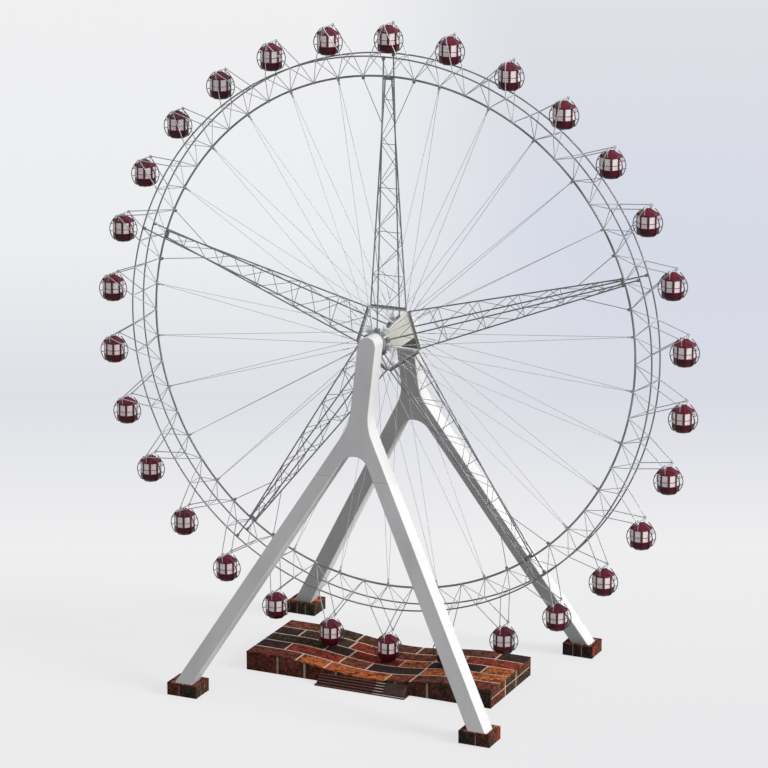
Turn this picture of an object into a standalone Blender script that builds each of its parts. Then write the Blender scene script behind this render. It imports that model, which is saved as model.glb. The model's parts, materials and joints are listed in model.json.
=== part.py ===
"""Ferris wheel with thirty hanging cabins, a 1:2 scale model of a wheel about 58 m tall.

Metres, +Z up, with the wheel's axle along Y. The origin lies on the ground below the hub.
The wheel turns on two leaning wishbone masts, and each cabin hangs on its own axle and stays level.
"""

import math

import bmesh
import bpy
from mathutils import Matrix, Vector

# Driving dimensions of the wheel
PIVOT_RADIUS = 13.50
HUB_HEIGHT = 15.32
CABINS = 30
SECTORS = 5
INNER_RING_RADIUS = 11.27
OUTER_RING_RADIUS = 12.18
RING_OFFSET = 0.495
INNER_RING_TUBE = 0.090
OUTER_RING_TUBE = 0.065
STRUT_BAR = 0.032
BRACKET_BAR = 0.036
JOINT_SHIFT = 0.075
CHORD_BAR = 0.060
BRACE_BAR = 0.028
CABLE = 0.024
SEAT_GAP = 0.0003
SEED_HALF = 0.001
UPRIGHT_LIMIT = 0.01

# Where pads meet the inner side of each ring
INNER_SEAT = INNER_RING_RADIUS - INNER_RING_TUBE / 2.0 - SEAT_GAP
OUTER_SEAT = OUTER_RING_RADIUS - OUTER_RING_TUBE / 2.0 - SEAT_GAP

# Steps round the wheel, in degrees
CABIN_STEP = 360.0 / CABINS
SECTOR_STEP = 360.0 / SECTORS
NODE_STEP = CABIN_STEP / 2.0
HALF_NODE = NODE_STEP / 2.0

# Hub
HUB_RADIUS = 1.55
HUB_BAR = 0.10
CORNER_SIDES = 10
CORNER_RADIUS = 0.049
CORNER_DEPTH = 0.06
EDGE_BAR = 0.08
EDGE_RADIUS = 0.33
EDGE_END = 1.10
PANEL = 0.03
PANEL_CUT_RIM = 0.33
PANEL_CUT_EDGE = 0.45
COLLAR_RADIUS = 0.48
COLLAR_INNER = 1.08
COLLAR_OUTER = 1.24
SPINDLE_RADIUS = 0.22
SPINDLE_END = 1.33
COLLAR_SIDES = 10
COLLAR_FLAT = COLLAR_RADIUS * math.cos(math.pi / COLLAR_SIDES)
CHORD_ROOT = (COLLAR_INNER + COLLAR_OUTER) / 2.0

# Bearing block at the tip of each bracket
BLOCK_HALF = 0.08
BLOCK_DEPTH = 0.11

# Masts: a column and two legs in one leaning plane, measured down from the hub
MAST_INNER = 1.485
MAST_DEPTH = 0.783
MAST_LEAN = 0.272
COLUMN_HALF = 0.42
HEAD_RISE = 0.03
HEAD_STEPS = 5
FLARE_START = 2.60
FLARE_LENGTH = 0.60
FLARE_STEPS = 3
OUTER_SLOPE = 0.592
OUTER_ZERO = 2.487
INNER_SLOPE = 0.5855
INNER_ZERO = 3.730
CROTCH_RADIUS = 0.743
CROTCH_STEPS = 3
SPLICE_DROP = 5.40
LEG_FOOT_DROP = 14.92
BOSS_RADIUS = 0.34

# Foot blocks
FOOT_CENTRE_X = 6.858
FOOT_HALF_X = 0.71
FOOT_LOW_Y = 5.2725
FOOT_HIGH_Y = 6.4875
FOOT_HEIGHT = 0.58
POCKET_X = (6.405, 7.400)
POCKET_Y = (5.454, 6.367)

# Boarding platform and its steps
PLATFORM_HALF_X = 5.85
PLATFORM_HALF_Y = 2.27
PLATFORM_LOW = 0.50
PLATFORM_RISE = 0.36
PLATFORM_DIP_HALF = 4.40
DIP_STEPS = 14
STEP_RISE = 0.085
STEP_DEPTH = 0.12
STEP_COUNT = 5
FLIGHT_X = (-2.20, 0.95)
BOTTOM_STEP_X = (-2.25, 2.05)
CHEEK_HEIGHT = 0.46
STEP_OVERLAP = 0.02

# Cabins, measured down from the pivot
CABIN_HALF = 0.435
CABIN_WALL = 0.040
CABIN_SIDES = 8
CABIN_POST = 0.055
ROOF_TOP = 0.012
ROOF_EAVE = 0.289
CEILING_TOP = 0.115
WINDOW_SILL = 0.846
TUB_TURN = 1.070
TUB_BOTTOM = 1.2056
TUB_BOTTOM_HALF = 0.310
FLOOR_TOP = 1.150
FLOOR_TOP_HALF = 0.310
HANGER_BAR = 0.050

# Spoke trusses, measured out from the hub's centre
FOOT_BAR_HALF = 0.86
FOOT_BAR = 0.10
FOOT_BAR_DEPTH = 0.12
CHORD_FOOT_X = 0.83
CHORD_TIP_X = 0.15
TIP_PAD_HALF = 0.20
TIP_PAD = 0.10
ROOT_PAD_HALF = 0.12
ROOT_PAD = 0.145
OUTER_PAD_HALF = 0.06
OUTER_PAD = 0.10
BRACES = 4
BRACE_START = 2.2
BRACE_STEP = 1.9
REAR_SHIFT = 0.25
RIGHT_CLIMB = 0.5
LEFT_CLIMB = 0.4
FORK_START = 9.2

# Stay cables
ANCHOR_HALF = 0.13
ANCHOR_LENGTH = 0.165
CLEVIS_HALF = 0.05
CLEVIS_LENGTH = 0.10
CABLE_SPREAD = 0.045
STAYS_PER_SECTOR = 5
STAY_START = 0.6


def clear_scene():
    for item in list(bpy.context.scene.objects):
        bpy.data.objects.remove(item, do_unlink=True)


def make_material(name, color, roughness, metallic=0.0):
    material = bpy.data.materials.new(name)
    material.use_nodes = True
    shader = material.node_tree.nodes["Principled BSDF"]
    shader.inputs["Base Color"].default_value = (*color, 1.0)
    shader.inputs["Roughness"].default_value = roughness
    shader.inputs["Metallic"].default_value = metallic
    return material


def around(radius, degrees, y=0.0):
    """A point at this radius, clockwise from the top as seen from the front."""
    turn = math.radians(degrees)
    return Vector((radius * math.sin(turn), y, radius * math.cos(turn)))


def turned(degrees):
    return Matrix.Rotation(math.radians(degrees), 4, "Y")


def add_rings(bm, rings):
    """A closed tube through rings of points, each ring wound alike."""
    rows = [[bm.verts.new(point) for point in ring] for ring in rings]
    count = len(rows[0])
    for first, second in zip(rows, rows[1:]):
        for i in range(count):
            j = (i + 1) % count
            bm.faces.new((first[i], first[j], second[j], second[i]))
    bm.faces.new(rows[0][::-1])
    bm.faces.new(rows[-1])


def add_bar(bm, start, end, size, sides=4):
    """A straight prism of equal sides, with its flats this far apart."""
    start, end = Vector(start), Vector(end)
    along = (end - start).normalized()
    across = along.cross(Vector((0.0, 1.0, 0.0)))
    if across.length < UPRIGHT_LIMIT:
        across = Vector((1.0, 0.0, 0.0))
    across.normalize()
    upright = along.cross(across)
    reach = size / 2.0 / math.cos(math.pi / sides)
    section = []
    for i in range(sides):
        turn = 2.0 * math.pi * (i + 0.5) / sides
        section.append(reach * (math.cos(turn) * across + math.sin(turn) * upright))
    add_rings(bm, [[start + corner for corner in section], [end + corner for corner in section]])


def add_box(bm, low, high, matrix=None):
    matrix = matrix or Matrix.Identity(4)
    lower = [(low[0], low[1]), (high[0], low[1]), (high[0], high[1]), (low[0], high[1])]
    add_rings(bm, [[matrix @ Vector((x, y, z)) for x, y in lower] for z in (low[2], high[2])])


def add_prism_y(bm, radius, sides, y_low, y_high):
    """A prism along Y whose flats face every 360/sides degrees from the top."""
    rings = []
    for y in (y_low, y_high):
        turns = [(i + 0.5) * 360.0 / sides for i in range(sides)]
        rings.append([around(radius, turn, y) for turn in turns])
    add_rings(bm, rings)


def mesh_from(bm, name):
    bmesh.ops.recalc_face_normals(bm, faces=bm.faces)
    mesh = bpy.data.meshes.new(name)
    bm.to_mesh(mesh)
    bm.free()
    return mesh


def fused(bm, name):
    """One closed skin of all the overlapping shapes in the mesh."""
    whole = bpy.data.objects.new(name + "_loose", mesh_from(bm, name + "_loose"))
    bpy.context.scene.collection.objects.link(whole)
    seed_bm = bmesh.new()
    face = whole.data.polygons[0]
    middle = face.center - face.normal * 4 * SEED_HALF
    add_box(seed_bm, middle - Vector((SEED_HALF,) * 3), middle + Vector((SEED_HALF,) * 3))
    seed = bpy.data.objects.new(name + "_seed", mesh_from(seed_bm, name + "_seed"))
    bpy.context.scene.collection.objects.link(seed)
    union = whole.modifiers.new("Fuse", "BOOLEAN")
    union.operation = "UNION"
    union.solver = "EXACT"
    union.use_self = True
    union.object = seed
    graph = bpy.context.evaluated_depsgraph_get()
    mesh = bpy.data.meshes.new_from_object(whole.evaluated_get(graph))
    mesh.name = name
    bpy.data.objects.remove(whole, do_unlink=True)
    bpy.data.objects.remove(seed, do_unlink=True)
    return mesh


def place(name, mesh, material, parent=None, location=(0.0, 0.0, 0.0), turn=0.0):
    if not mesh.materials:
        mesh.materials.append(material)
    item = bpy.data.objects.new(name, mesh)
    bpy.context.scene.collection.objects.link(item)
    item.parent = parent
    item.location = location
    item.rotation_euler = (0.0, math.radians(turn), 0.0)
    return item


def ring_sections(radius, tube, y, stations):
    """Square sections of a ring's tube at these angles, mitred at its corners."""
    half = tube / 2.0
    sections = []
    for degrees, reach in stations:
        corners = ((-half, -half), (half, -half), (half, half), (-half, half))
        sections.append([around((radius + out) * reach, degrees, y + side) for out, side in corners])
    return sections


def add_ring(bm, radius, tube, y, first, last, corners):
    """A polygonal ring, from one segment's end to its other, whose sides touch the radius at the nodes."""
    trim = math.degrees(SEAT_GAP / 2.0 / radius)
    corner_reach = 1.0 / math.cos(math.radians(HALF_NODE))
    ends_at_corner = corners[0] - first > NODE_STEP - HALF_NODE / 2.0
    end_reach = corner_reach if ends_at_corner else 1.0
    stations = [(first + trim, end_reach)]
    stations += [(corner, corner_reach) for corner in corners]
    stations.append((last - trim, end_reach))
    add_rings(bm, ring_sections(radius, tube, y, stations))


def rim_segment_mesh():
    """A fifth of the rim: one inner ring, two outer rings, struts and six pairs of brackets."""
    bm = bmesh.new()
    cabin_angles = [CABIN_STEP * i for i in range(-2, 4)]
    first = cabin_angles[0] - NODE_STEP
    last = cabin_angles[-1] + NODE_STEP
    inner_nodes = [first + NODE_STEP * (i + 1) for i in range(2 * len(cabin_angles) - 1)]
    outer_nodes = [first + HALF_NODE + NODE_STEP * i for i in range(2 * len(cabin_angles))]
    inner_shift = math.degrees(JOINT_SHIFT / INNER_RING_RADIUS)
    outer_shift = math.degrees(JOINT_SHIFT / OUTER_RING_RADIUS)
    add_ring(bm, INNER_RING_RADIUS, INNER_RING_TUBE, 0.0, first, last, outer_nodes)
    for y in (-RING_OFFSET, RING_OFFSET):
        add_ring(bm, OUTER_RING_RADIUS, OUTER_RING_TUBE, y, first, last, inner_nodes)
        for angle in cabin_angles:
            for side in (-1.0, 1.0):
                node = angle + side * HALF_NODE
                foot = around(INNER_RING_RADIUS, angle + side * inner_shift)
                head = around(OUTER_RING_RADIUS, node - side * outer_shift, y)
                add_bar(bm, foot, head, STRUT_BAR, 3)
                apex = around(PIVOT_RADIUS, angle + side * inner_shift / 2.0, y)
                add_bar(bm, around(OUTER_RING_RADIUS, node, y), apex, BRACKET_BAR, 3)
            low = (-BLOCK_HALF, y - BLOCK_DEPTH / 2.0, PIVOT_RADIUS - BLOCK_HALF)
            high = (BLOCK_HALF, y + BLOCK_DEPTH / 2.0, PIVOT_RADIUS + BLOCK_HALF)
            add_box(bm, low, high, turned(angle))
    for node in outer_nodes[::2]:
        front = around(OUTER_RING_RADIUS, node, -RING_OFFSET)
        rear = around(OUTER_RING_RADIUS, node, RING_OFFSET)
        add_bar(bm, front, rear, STRUT_BAR, 3)
    return fused(bm, "rim_segment")


def spoke_truss_mesh():
    """A tapering truss of four chords, with a foot on the hub and a fork at the rim."""
    bm = bmesh.new()
    foot = HUB_RADIUS * math.cos(math.pi / SECTORS) + SEAT_GAP
    low = (-FOOT_BAR_HALF, -FOOT_BAR_DEPTH / 2.0, foot)
    add_box(bm, low, (FOOT_BAR_HALF, FOOT_BAR_DEPTH / 2.0, foot + FOOT_BAR))
    tip = INNER_SEAT
    half_tube = INNER_RING_TUBE / 2.0
    add_box(bm, (-TIP_PAD_HALF, -half_tube, tip - TIP_PAD), (TIP_PAD_HALF, half_tube, tip))
    chord_low = foot + FOOT_BAR / 2.0
    chord_high = tip - TIP_PAD / 2.0
    root = COLLAR_FLAT + SEAT_GAP
    face_low = root + ROOT_PAD / 2.0
    face_high = OUTER_SEAT - OUTER_PAD / 2.0

    def side_chord(z):
        share = (z - chord_low) / (chord_high - chord_low)
        return Vector((CHORD_FOOT_X + (CHORD_TIP_X - CHORD_FOOT_X) * share, 0.0, z))

    def face_chord(z):
        share = (z - face_low) / (face_high - face_low)
        return Vector((0.0, CHORD_ROOT + (RING_OFFSET - CHORD_ROOT) * share, z))

    for side in (-1.0, 1.0):
        mirror_x = Matrix.Diagonal((side, 1.0, 1.0))
        mirror_y = Matrix.Diagonal((1.0, side, 1.0))
        add_bar(bm, mirror_x @ side_chord(chord_low), mirror_x @ side_chord(chord_high), CHORD_BAR)
        add_bar(bm, mirror_y @ face_chord(face_low), mirror_y @ face_chord(face_high), CHORD_BAR)
        y_ends = sorted((side * COLLAR_INNER, side * COLLAR_OUTER))
        add_box(bm, (-ROOT_PAD_HALF, y_ends[0], root), (ROOT_PAD_HALF, y_ends[1], root + ROOT_PAD))
        ring_y = side * RING_OFFSET
        low = (-OUTER_PAD_HALF, ring_y - OUTER_PAD_HALF, OUTER_SEAT - OUTER_PAD)
        add_box(bm, low, (OUTER_PAD_HALF, ring_y + OUTER_PAD_HALF, OUTER_SEAT))
        low = (-OUTER_PAD_HALF, -half_tube, tip - OUTER_PAD)
        add_box(bm, low, (OUTER_PAD_HALF, half_tube, tip), turned(side * NODE_STEP))
        fork_end = around(tip - OUTER_PAD / 2.0, side * NODE_STEP)
        add_bar(bm, mirror_x @ side_chord(FORK_START), fork_end, BRACE_BAR, 3)
        for i in range(BRACES):
            for side_x in (-1.0, 1.0):
                foot_z = BRACE_START + BRACE_STEP * (i + (REAR_SHIFT if side > 0.0 else 0.0))
                head_z = foot_z + BRACE_STEP * (RIGHT_CLIMB if side_x > 0.0 else LEFT_CLIMB)
                side_foot = Matrix.Diagonal((side_x, 1.0, 1.0)) @ side_chord(foot_z)
                add_bar(bm, side_foot, mirror_y @ face_chord(head_z), BRACE_BAR, 3)
    return fused(bm, "spoke_truss")


def stay_cables_mesh():
    """Five pairs of taut stays, from a front and a rear anchor on the hub to the inner ring."""
    bm = bmesh.new()
    root = COLLAR_FLAT + SEAT_GAP
    start = root + ANCHOR_LENGTH * STAY_START
    tip = INNER_SEAT
    middle = (STAYS_PER_SECTOR - 1) / 2.0
    for side in (-1.0, 1.0):
        y_ends = sorted((side * COLLAR_INNER, side * COLLAR_OUTER))
        add_box(bm, (-ANCHOR_HALF, y_ends[0], root), (ANCHOR_HALF, y_ends[1], root + ANCHOR_LENGTH))
    for i in range(STAYS_PER_SECTOR):
        angle = CABIN_STEP * (i - middle)
        low = (-CLEVIS_HALF, -CLEVIS_HALF, tip - CLEVIS_LENGTH)
        add_box(bm, low, (CLEVIS_HALF, CLEVIS_HALF, tip), turned(angle))
        for side in (-1.0, 1.0):
            hub_end = Vector((CABLE_SPREAD * (i - middle), side * CHORD_ROOT, start))
            rim_end = around(tip - CLEVIS_LENGTH / 2.0, angle, side * CLEVIS_HALF / 2.0)
            add_bar(bm, hub_end, rim_end, CABLE, 3)
    return fused(bm, "stay_cables")


def hub_mesh():
    """An open five-sided frame with bars to a collar at each end, an axle and one front panel."""
    bm = bmesh.new()
    ring_radius = HUB_RADIUS - HUB_BAR / 2.0 / math.cos(math.pi / SECTORS)
    corners = [(i + 0.5) * SECTOR_STEP for i in range(SECTORS)]
    for i in range(SECTORS):
        corner = around(ring_radius, corners[i])
        add_bar(bm, corner, around(ring_radius, corners[i - 1]), HUB_BAR)
        turns = [2.0 * math.pi * k / CORNER_SIDES for k in range(CORNER_SIDES)]
        knuckle = [CORNER_RADIUS * Vector((math.sin(turn), 0.0, math.cos(turn))) for turn in turns]
        ends = [Vector((0.0, y, 0.0)) for y in (-CORNER_DEPTH, CORNER_DEPTH)]
        add_rings(bm, [[corner + end + out for out in knuckle] for end in ends])
        for side in (-1.0, 1.0):
            add_bar(bm, corner, around(EDGE_RADIUS, corners[i], side * EDGE_END), EDGE_BAR)
    add_prism_y(bm, COLLAR_RADIUS, COLLAR_SIDES, -COLLAR_OUTER, -COLLAR_INNER)
    add_prism_y(bm, COLLAR_RADIUS, COLLAR_SIDES, COLLAR_INNER, COLLAR_OUTER)
    add_prism_y(bm, SPINDLE_RADIUS, COLLAR_SIDES, -SPINDLE_END, SPINDLE_END)
    rim_high, rim_low = [around(ring_radius, corner) for corner in corners[:2]]
    end_high, end_low = [around(EDGE_RADIUS, corner, -EDGE_END) for corner in corners[:2]]
    outline = [end_high, rim_high, rim_low.lerp(rim_high, PANEL_CUT_RIM)]
    outline += [end_low.lerp(rim_low, PANEL_CUT_EDGE), end_low]
    out = (rim_high - end_high).cross(rim_low - end_high).normalized() * PANEL / 2.0
    add_rings(bm, [[point - out for point in outline], [point + out for point in outline]])
    return fused(bm, "hub")


def cabin_mesh():
    """An eight-sided cabin: tub, corner posts round open windows, roof and hanger."""
    bm = bmesh.new()
    corner_turn = math.pi / CABIN_SIDES

    def corner(half, i, drop):
        reach = half / math.cos(corner_turn)
        turn = 2.0 * math.pi * i / CABIN_SIDES + corner_turn
        return Vector((reach * math.cos(turn), reach * math.sin(turn), -drop))

    def octagon(half, drop):
        return [bm.verts.new(corner(half, i, drop)) for i in range(CABIN_SIDES)]

    def beside_posts(drop):
        """The points where each post ends on the walls before and after its corner."""
        before, after = [], []
        for i in range(CABIN_SIDES):
            here = corner(CABIN_HALF, i, drop)
            back = (corner(CABIN_HALF, i - 1, drop) - here).normalized()
            ahead = (corner(CABIN_HALF, i + 1, drop) - here).normalized()
            before.append(bm.verts.new(here + CABIN_POST * back))
            after.append(bm.verts.new(here + CABIN_POST * ahead))
        return before, after

    inner_half = CABIN_HALF - CABIN_WALL
    bottom = octagon(TUB_BOTTOM_HALF, TUB_BOTTOM)
    turn = octagon(CABIN_HALF, TUB_TURN)
    sill = octagon(CABIN_HALF, WINDOW_SILL)
    eave = octagon(CABIN_HALF, ROOF_EAVE)
    floor = octagon(FLOOR_TOP_HALF, FLOOR_TOP)
    inner_sill = octagon(inner_half, WINDOW_SILL)
    inner_eave = octagon(inner_half, ROOF_EAVE)
    sill_before, sill_after = beside_posts(WINDOW_SILL)
    eave_before, eave_after = beside_posts(ROOF_EAVE)
    roof_tip = bm.verts.new((0.0, 0.0, -ROOF_TOP))
    ceiling_tip = bm.verts.new((0.0, 0.0, -CEILING_TOP))
    bm.faces.new(bottom[::-1])
    bm.faces.new(floor)
    for i in range(CABIN_SIDES):
        j = (i + 1) % CABIN_SIDES
        bm.faces.new((bottom[i], bottom[j], turn[j], turn[i]))
        bm.faces.new((turn[i], turn[j], sill[j], sill_before[j], sill_after[i], sill[i]))
        bm.faces.new((floor[j], floor[i], inner_sill[i], inner_sill[j]))
        bm.faces.new((sill_after[i], sill_before[j], inner_sill[j], inner_sill[i]))
        bm.faces.new((sill_before[i], sill_after[i], inner_sill[i]))
        bm.faces.new((sill[i], sill_after[i], eave_after[i], eave[i]))
        bm.faces.new((sill_before[i], sill[i], eave[i], eave_before[i]))
        bm.faces.new((sill_after[i], sill_before[i], eave_before[i], eave_after[i]))
        bm.faces.new((eave_before[j], eave_after[i], inner_eave[i], inner_eave[j]))
        bm.faces.new((eave_after[i], eave_before[i], inner_eave[i]))
        bm.faces.new((eave[i], eave_after[i], eave_before[j], eave[j], roof_tip))
        bm.faces.new((inner_eave[j], inner_eave[i], ceiling_tip))
    bar = HANGER_BAR / 2.0
    reach = RING_OFFSET - BLOCK_DEPTH / 2.0 - SEAT_GAP
    add_box(bm, (-bar, -reach, -bar), (bar, reach, bar))
    return fused(bm, "cabin")


def curve_points(start, bend, end, count):
    """Points of a rounded corner from start to end, drawn towards the bend."""
    points = []
    for i in range(count + 1):
        t = i / count
        x = (1 - t) ** 2 * start[0] + 2 * t * (1 - t) * bend[0] + t ** 2 * end[0]
        drop = (1 - t) ** 2 * start[1] + 2 * t * (1 - t) * bend[1] + t ** 2 * end[1]
        points.append((x, drop))
    return points


def outer_edge(drop):
    return OUTER_SLOPE * (drop - OUTER_ZERO)


def inner_edge(drop):
    return INNER_SLOPE * (drop - INNER_ZERO)


def mast_outline():
    """Half of the mast's outline as (x, drop below the hub), from the head's top down and round."""
    points = []
    for i in range(HEAD_STEPS + 1):
        turn = math.pi / 2.0 * i / HEAD_STEPS
        points.append((COLUMN_HALF * math.sin(turn), -HEAD_RISE - COLUMN_HALF * math.cos(turn)))
    bend = OUTER_ZERO + COLUMN_HALF / OUTER_SLOPE
    along = FLARE_LENGTH / math.hypot(1.0, OUTER_SLOPE)
    flare_end = (COLUMN_HALF + OUTER_SLOPE * along, bend + along)
    points += curve_points((COLUMN_HALF, FLARE_START), (COLUMN_HALF, bend), flare_end, FLARE_STEPS)
    points.append((outer_edge(SPLICE_DROP), SPLICE_DROP))
    points.append((inner_edge(SPLICE_DROP), SPLICE_DROP))
    half_angle = math.atan(INNER_SLOPE)
    centre = INNER_ZERO + CROTCH_RADIUS / math.sin(half_angle)
    for i in range(CROTCH_STEPS + 1):
        turn = half_angle + (math.pi / 2.0 - half_angle) * i / CROTCH_STEPS
        points.append((CROTCH_RADIUS * math.cos(turn), centre - CROTCH_RADIUS * math.sin(turn)))
    return points


def leaning_slab(bm, outline, side):
    """An upright outline with the mast's depth, leaning in towards the hub on this side."""
    rings = []
    for depth in (0.0, MAST_DEPTH):
        ring = []
        for x, drop in outline:
            y = side * (MAST_INNER + MAST_LEAN * drop + depth)
            ring.append(Vector((x, y, HUB_HEIGHT - drop)))
        rings.append(ring)
    add_rings(bm, rings)


def mast_mesh(side):
    bm = bmesh.new()
    half = mast_outline()
    outline = half + [(-x, drop) for x, drop in half[-2:0:-1]]
    leaning_slab(bm, outline, side)
    ends = sorted((side * (SPINDLE_END + SEAT_GAP), side * (MAST_INNER + MAST_DEPTH / 2.0)))
    boss = bmesh.new()
    add_prism_y(boss, BOSS_RADIUS, COLLAR_SIDES, ends[0], ends[1])
    boss.transform(Matrix.Translation((0.0, 0.0, HUB_HEIGHT)))
    boss_mesh = mesh_from(boss, "boss")
    bm.from_mesh(boss_mesh)
    return fused(bm, "mast")


def leg_mesh(side_x, side_y):
    bm = bmesh.new()
    top = SPLICE_DROP + SEAT_GAP
    outline = [
        (side_x * inner_edge(top), top),
        (side_x * outer_edge(top), top),
        (side_x * outer_edge(LEG_FOOT_DROP), LEG_FOOT_DROP),
        (side_x * inner_edge(LEG_FOOT_DROP), LEG_FOOT_DROP),
    ]
    leaning_slab(bm, outline, side_y)
    return mesh_from(bm, "leg")


def foot_mesh(side_x, side_y):
    """A square foot with an open pocket that the leg stands in."""
    bm = bmesh.new()
    mirror = Matrix.Diagonal((side_x, side_y, 1.0))
    pocket_floor = HUB_HEIGHT - LEG_FOOT_DROP - SEAT_GAP

    def loop(x_ends, y_ends, z):
        corners = ((0, 0), (1, 0), (1, 1), (0, 1))
        return [bm.verts.new(mirror @ Vector((x_ends[i], y_ends[j], z))) for i, j in corners]

    x_ends = (FOOT_CENTRE_X - FOOT_HALF_X, FOOT_CENTRE_X + FOOT_HALF_X)
    y_ends = (FOOT_LOW_Y, FOOT_HIGH_Y)
    loops = [
        loop(x_ends, y_ends, 0.0),
        loop(x_ends, y_ends, FOOT_HEIGHT),
        loop(POCKET_X, POCKET_Y, FOOT_HEIGHT),
        loop(POCKET_X, POCKET_Y, pocket_floor),
    ]
    for first, second in zip(loops, loops[1:]):
        for i in range(4):
            j = (i + 1) % 4
            bm.faces.new((first[i], first[j], second[j], second[i]))
    bm.faces.new(loops[0])
    bm.faces.new(loops[-1])
    return mesh_from(bm, "foot")


def platform_top(x):
    """Height of the boarding platform, which dips under the lowest cabins."""
    reach = min(abs(x), PLATFORM_DIP_HALF) / PLATFORM_DIP_HALF
    return PLATFORM_LOW + PLATFORM_RISE * (1.0 - math.cos(math.pi * reach)) / 2.0


def platform_mesh():
    bm = bmesh.new()
    across = [PLATFORM_DIP_HALF * (2.0 * i / DIP_STEPS - 1.0) for i in range(DIP_STEPS + 1)]
    across = [-PLATFORM_HALF_X] + across + [PLATFORM_HALF_X]
    outline = [(x, platform_top(x)) for x in across]
    outline += [(PLATFORM_HALF_X, 0.0), (-PLATFORM_HALF_X, 0.0)]
    add_rings(bm, [[Vector((x, y, z)) for x, z in outline] for y in (-PLATFORM_HALF_Y, PLATFORM_HALF_Y)])
    return mesh_from(bm, "platform")


def steps_mesh():
    """A short flight up to the platform's front, with a sloping cheek at its right."""
    bm = bmesh.new()
    back = -PLATFORM_HALF_Y - SEAT_GAP
    for i in range(STEP_COUNT):
        ends = BOTTOM_STEP_X if i == 0 else FLIGHT_X
        front = back - STEP_DEPTH * (STEP_COUNT - i)
        bottom = max(0.0, STEP_RISE * i - STEP_OVERLAP)
        add_box(bm, (ends[0], front, bottom), (ends[1], back, STEP_RISE * (i + 1)))
    cheek_x = (FLIGHT_X[1] - STEP_OVERLAP, BOTTOM_STEP_X[1] - STEP_DEPTH)
    cheek_front = back - STEP_DEPTH * (STEP_COUNT - 1)
    low = STEP_RISE - STEP_OVERLAP
    cheek = [(cheek_front, low), (back, low), (back, CHEEK_HEIGHT)]
    cheek.append((cheek_front, STEP_RISE + STEP_OVERLAP))
    add_rings(bm, [[Vector((x, y, z)) for y, z in cheek] for x in cheek_x])
    return fused(bm, "boarding_steps")


def build_wheel(steel, pale_steel, cabin_red, cable_steel):
    axis = bpy.data.objects.new("wheel_axis", None)
    axis.location = (0.0, 0.0, HUB_HEIGHT)
    bpy.context.scene.collection.objects.link(axis)
    place("hub", hub_mesh(), pale_steel, axis)
    truss = spoke_truss_mesh()
    rim = rim_segment_mesh()
    stays = stay_cables_mesh()
    for i in range(SECTORS):
        turn = SECTOR_STEP * i
        place(f"spoke_truss_{i + 1}", truss, steel, axis, turn=turn)
        place(f"rim_segment_{i + 1}", rim, steel, axis, turn=turn)
        place(f"stay_cables_{i + 1}", stays, cable_steel, axis, turn=turn + SECTOR_STEP / 2.0)
    cabin = cabin_mesh()
    for i in range(CABINS):
        pivot = around(PIVOT_RADIUS, CABIN_STEP * i)
        place(f"cabin_{i + 1:02d}", cabin, cabin_red, axis, location=pivot)


def build_stand(pale_steel, brick):
    for label_y, side_y in (("front", -1.0), ("rear", 1.0)):
        place(f"{label_y}_mast", mast_mesh(side_y), pale_steel)
        for label_x, side_x in (("left", -1.0), ("right", 1.0)):
            place(f"{label_y}_{label_x}_leg", leg_mesh(side_x, side_y), pale_steel)
            place(f"{label_y}_{label_x}_foot", foot_mesh(side_x, side_y), brick)
    place("platform", platform_mesh(), brick)
    place("boarding_steps", steps_mesh(), brick)


def main():
    clear_scene()
    steel = make_material("grey_steel", (0.28, 0.29, 0.30), 0.45, 0.2)
    pale_steel = make_material("white_steel", (0.72, 0.72, 0.70), 0.5)
    cabin_red = make_material("cabin_red", (0.20, 0.010, 0.022), 0.35)
    cable_steel = make_material("cable_steel", (0.42, 0.43, 0.44), 0.4, 0.6)
    brick = make_material("brick", (0.30, 0.11, 0.06), 0.85)
    build_wheel(steel, pale_steel, cabin_red, cable_steel)
    build_stand(pale_steel, brick)


main()
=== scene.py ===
"""Looks of the ferris wheel: camera, light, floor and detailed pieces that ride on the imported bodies."""

import json
import math
import random

import bmesh
import bpy
from mathutils import Matrix, Vector, noise


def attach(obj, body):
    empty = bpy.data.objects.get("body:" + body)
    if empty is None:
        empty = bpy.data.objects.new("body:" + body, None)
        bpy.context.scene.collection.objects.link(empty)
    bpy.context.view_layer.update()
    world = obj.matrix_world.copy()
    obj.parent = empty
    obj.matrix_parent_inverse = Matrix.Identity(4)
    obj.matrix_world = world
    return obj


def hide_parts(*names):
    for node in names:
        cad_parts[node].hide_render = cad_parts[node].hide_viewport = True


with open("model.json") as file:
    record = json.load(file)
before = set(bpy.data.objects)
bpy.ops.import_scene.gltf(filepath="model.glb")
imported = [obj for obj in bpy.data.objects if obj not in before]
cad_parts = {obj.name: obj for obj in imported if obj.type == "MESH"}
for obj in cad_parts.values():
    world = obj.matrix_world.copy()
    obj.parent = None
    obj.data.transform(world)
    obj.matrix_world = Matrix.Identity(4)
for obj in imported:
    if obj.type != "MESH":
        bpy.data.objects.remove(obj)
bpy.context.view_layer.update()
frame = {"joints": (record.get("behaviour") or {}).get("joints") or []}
wheel_joint = next(joint for joint in frame["joints"] if joint["name"] == "wheel_spin")

# Directions and sides
ALONG_X = Vector((1.0, 0.0, 0.0))
ALONG_Y = Vector((0.0, 1.0, 0.0))
ALONG_Z = Vector((0.0, 0.0, 1.0))
SIDES = (-1.0, 1.0)
FRONT_AND_REAR = (("front", -1.0), ("rear", 1.0))
LEFT_AND_RIGHT = (("left", -1.0), ("right", 1.0))

# The widest bend that is shaded smooth, the gap between pieces that meet, and the paint's stains and grain
SHARP = math.radians(32.0)
HAIRLINE = 0.001
STAIN_STRETCH, GRAIN_DEPTH = (1.0, 1.0, 0.35), 0.004

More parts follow.
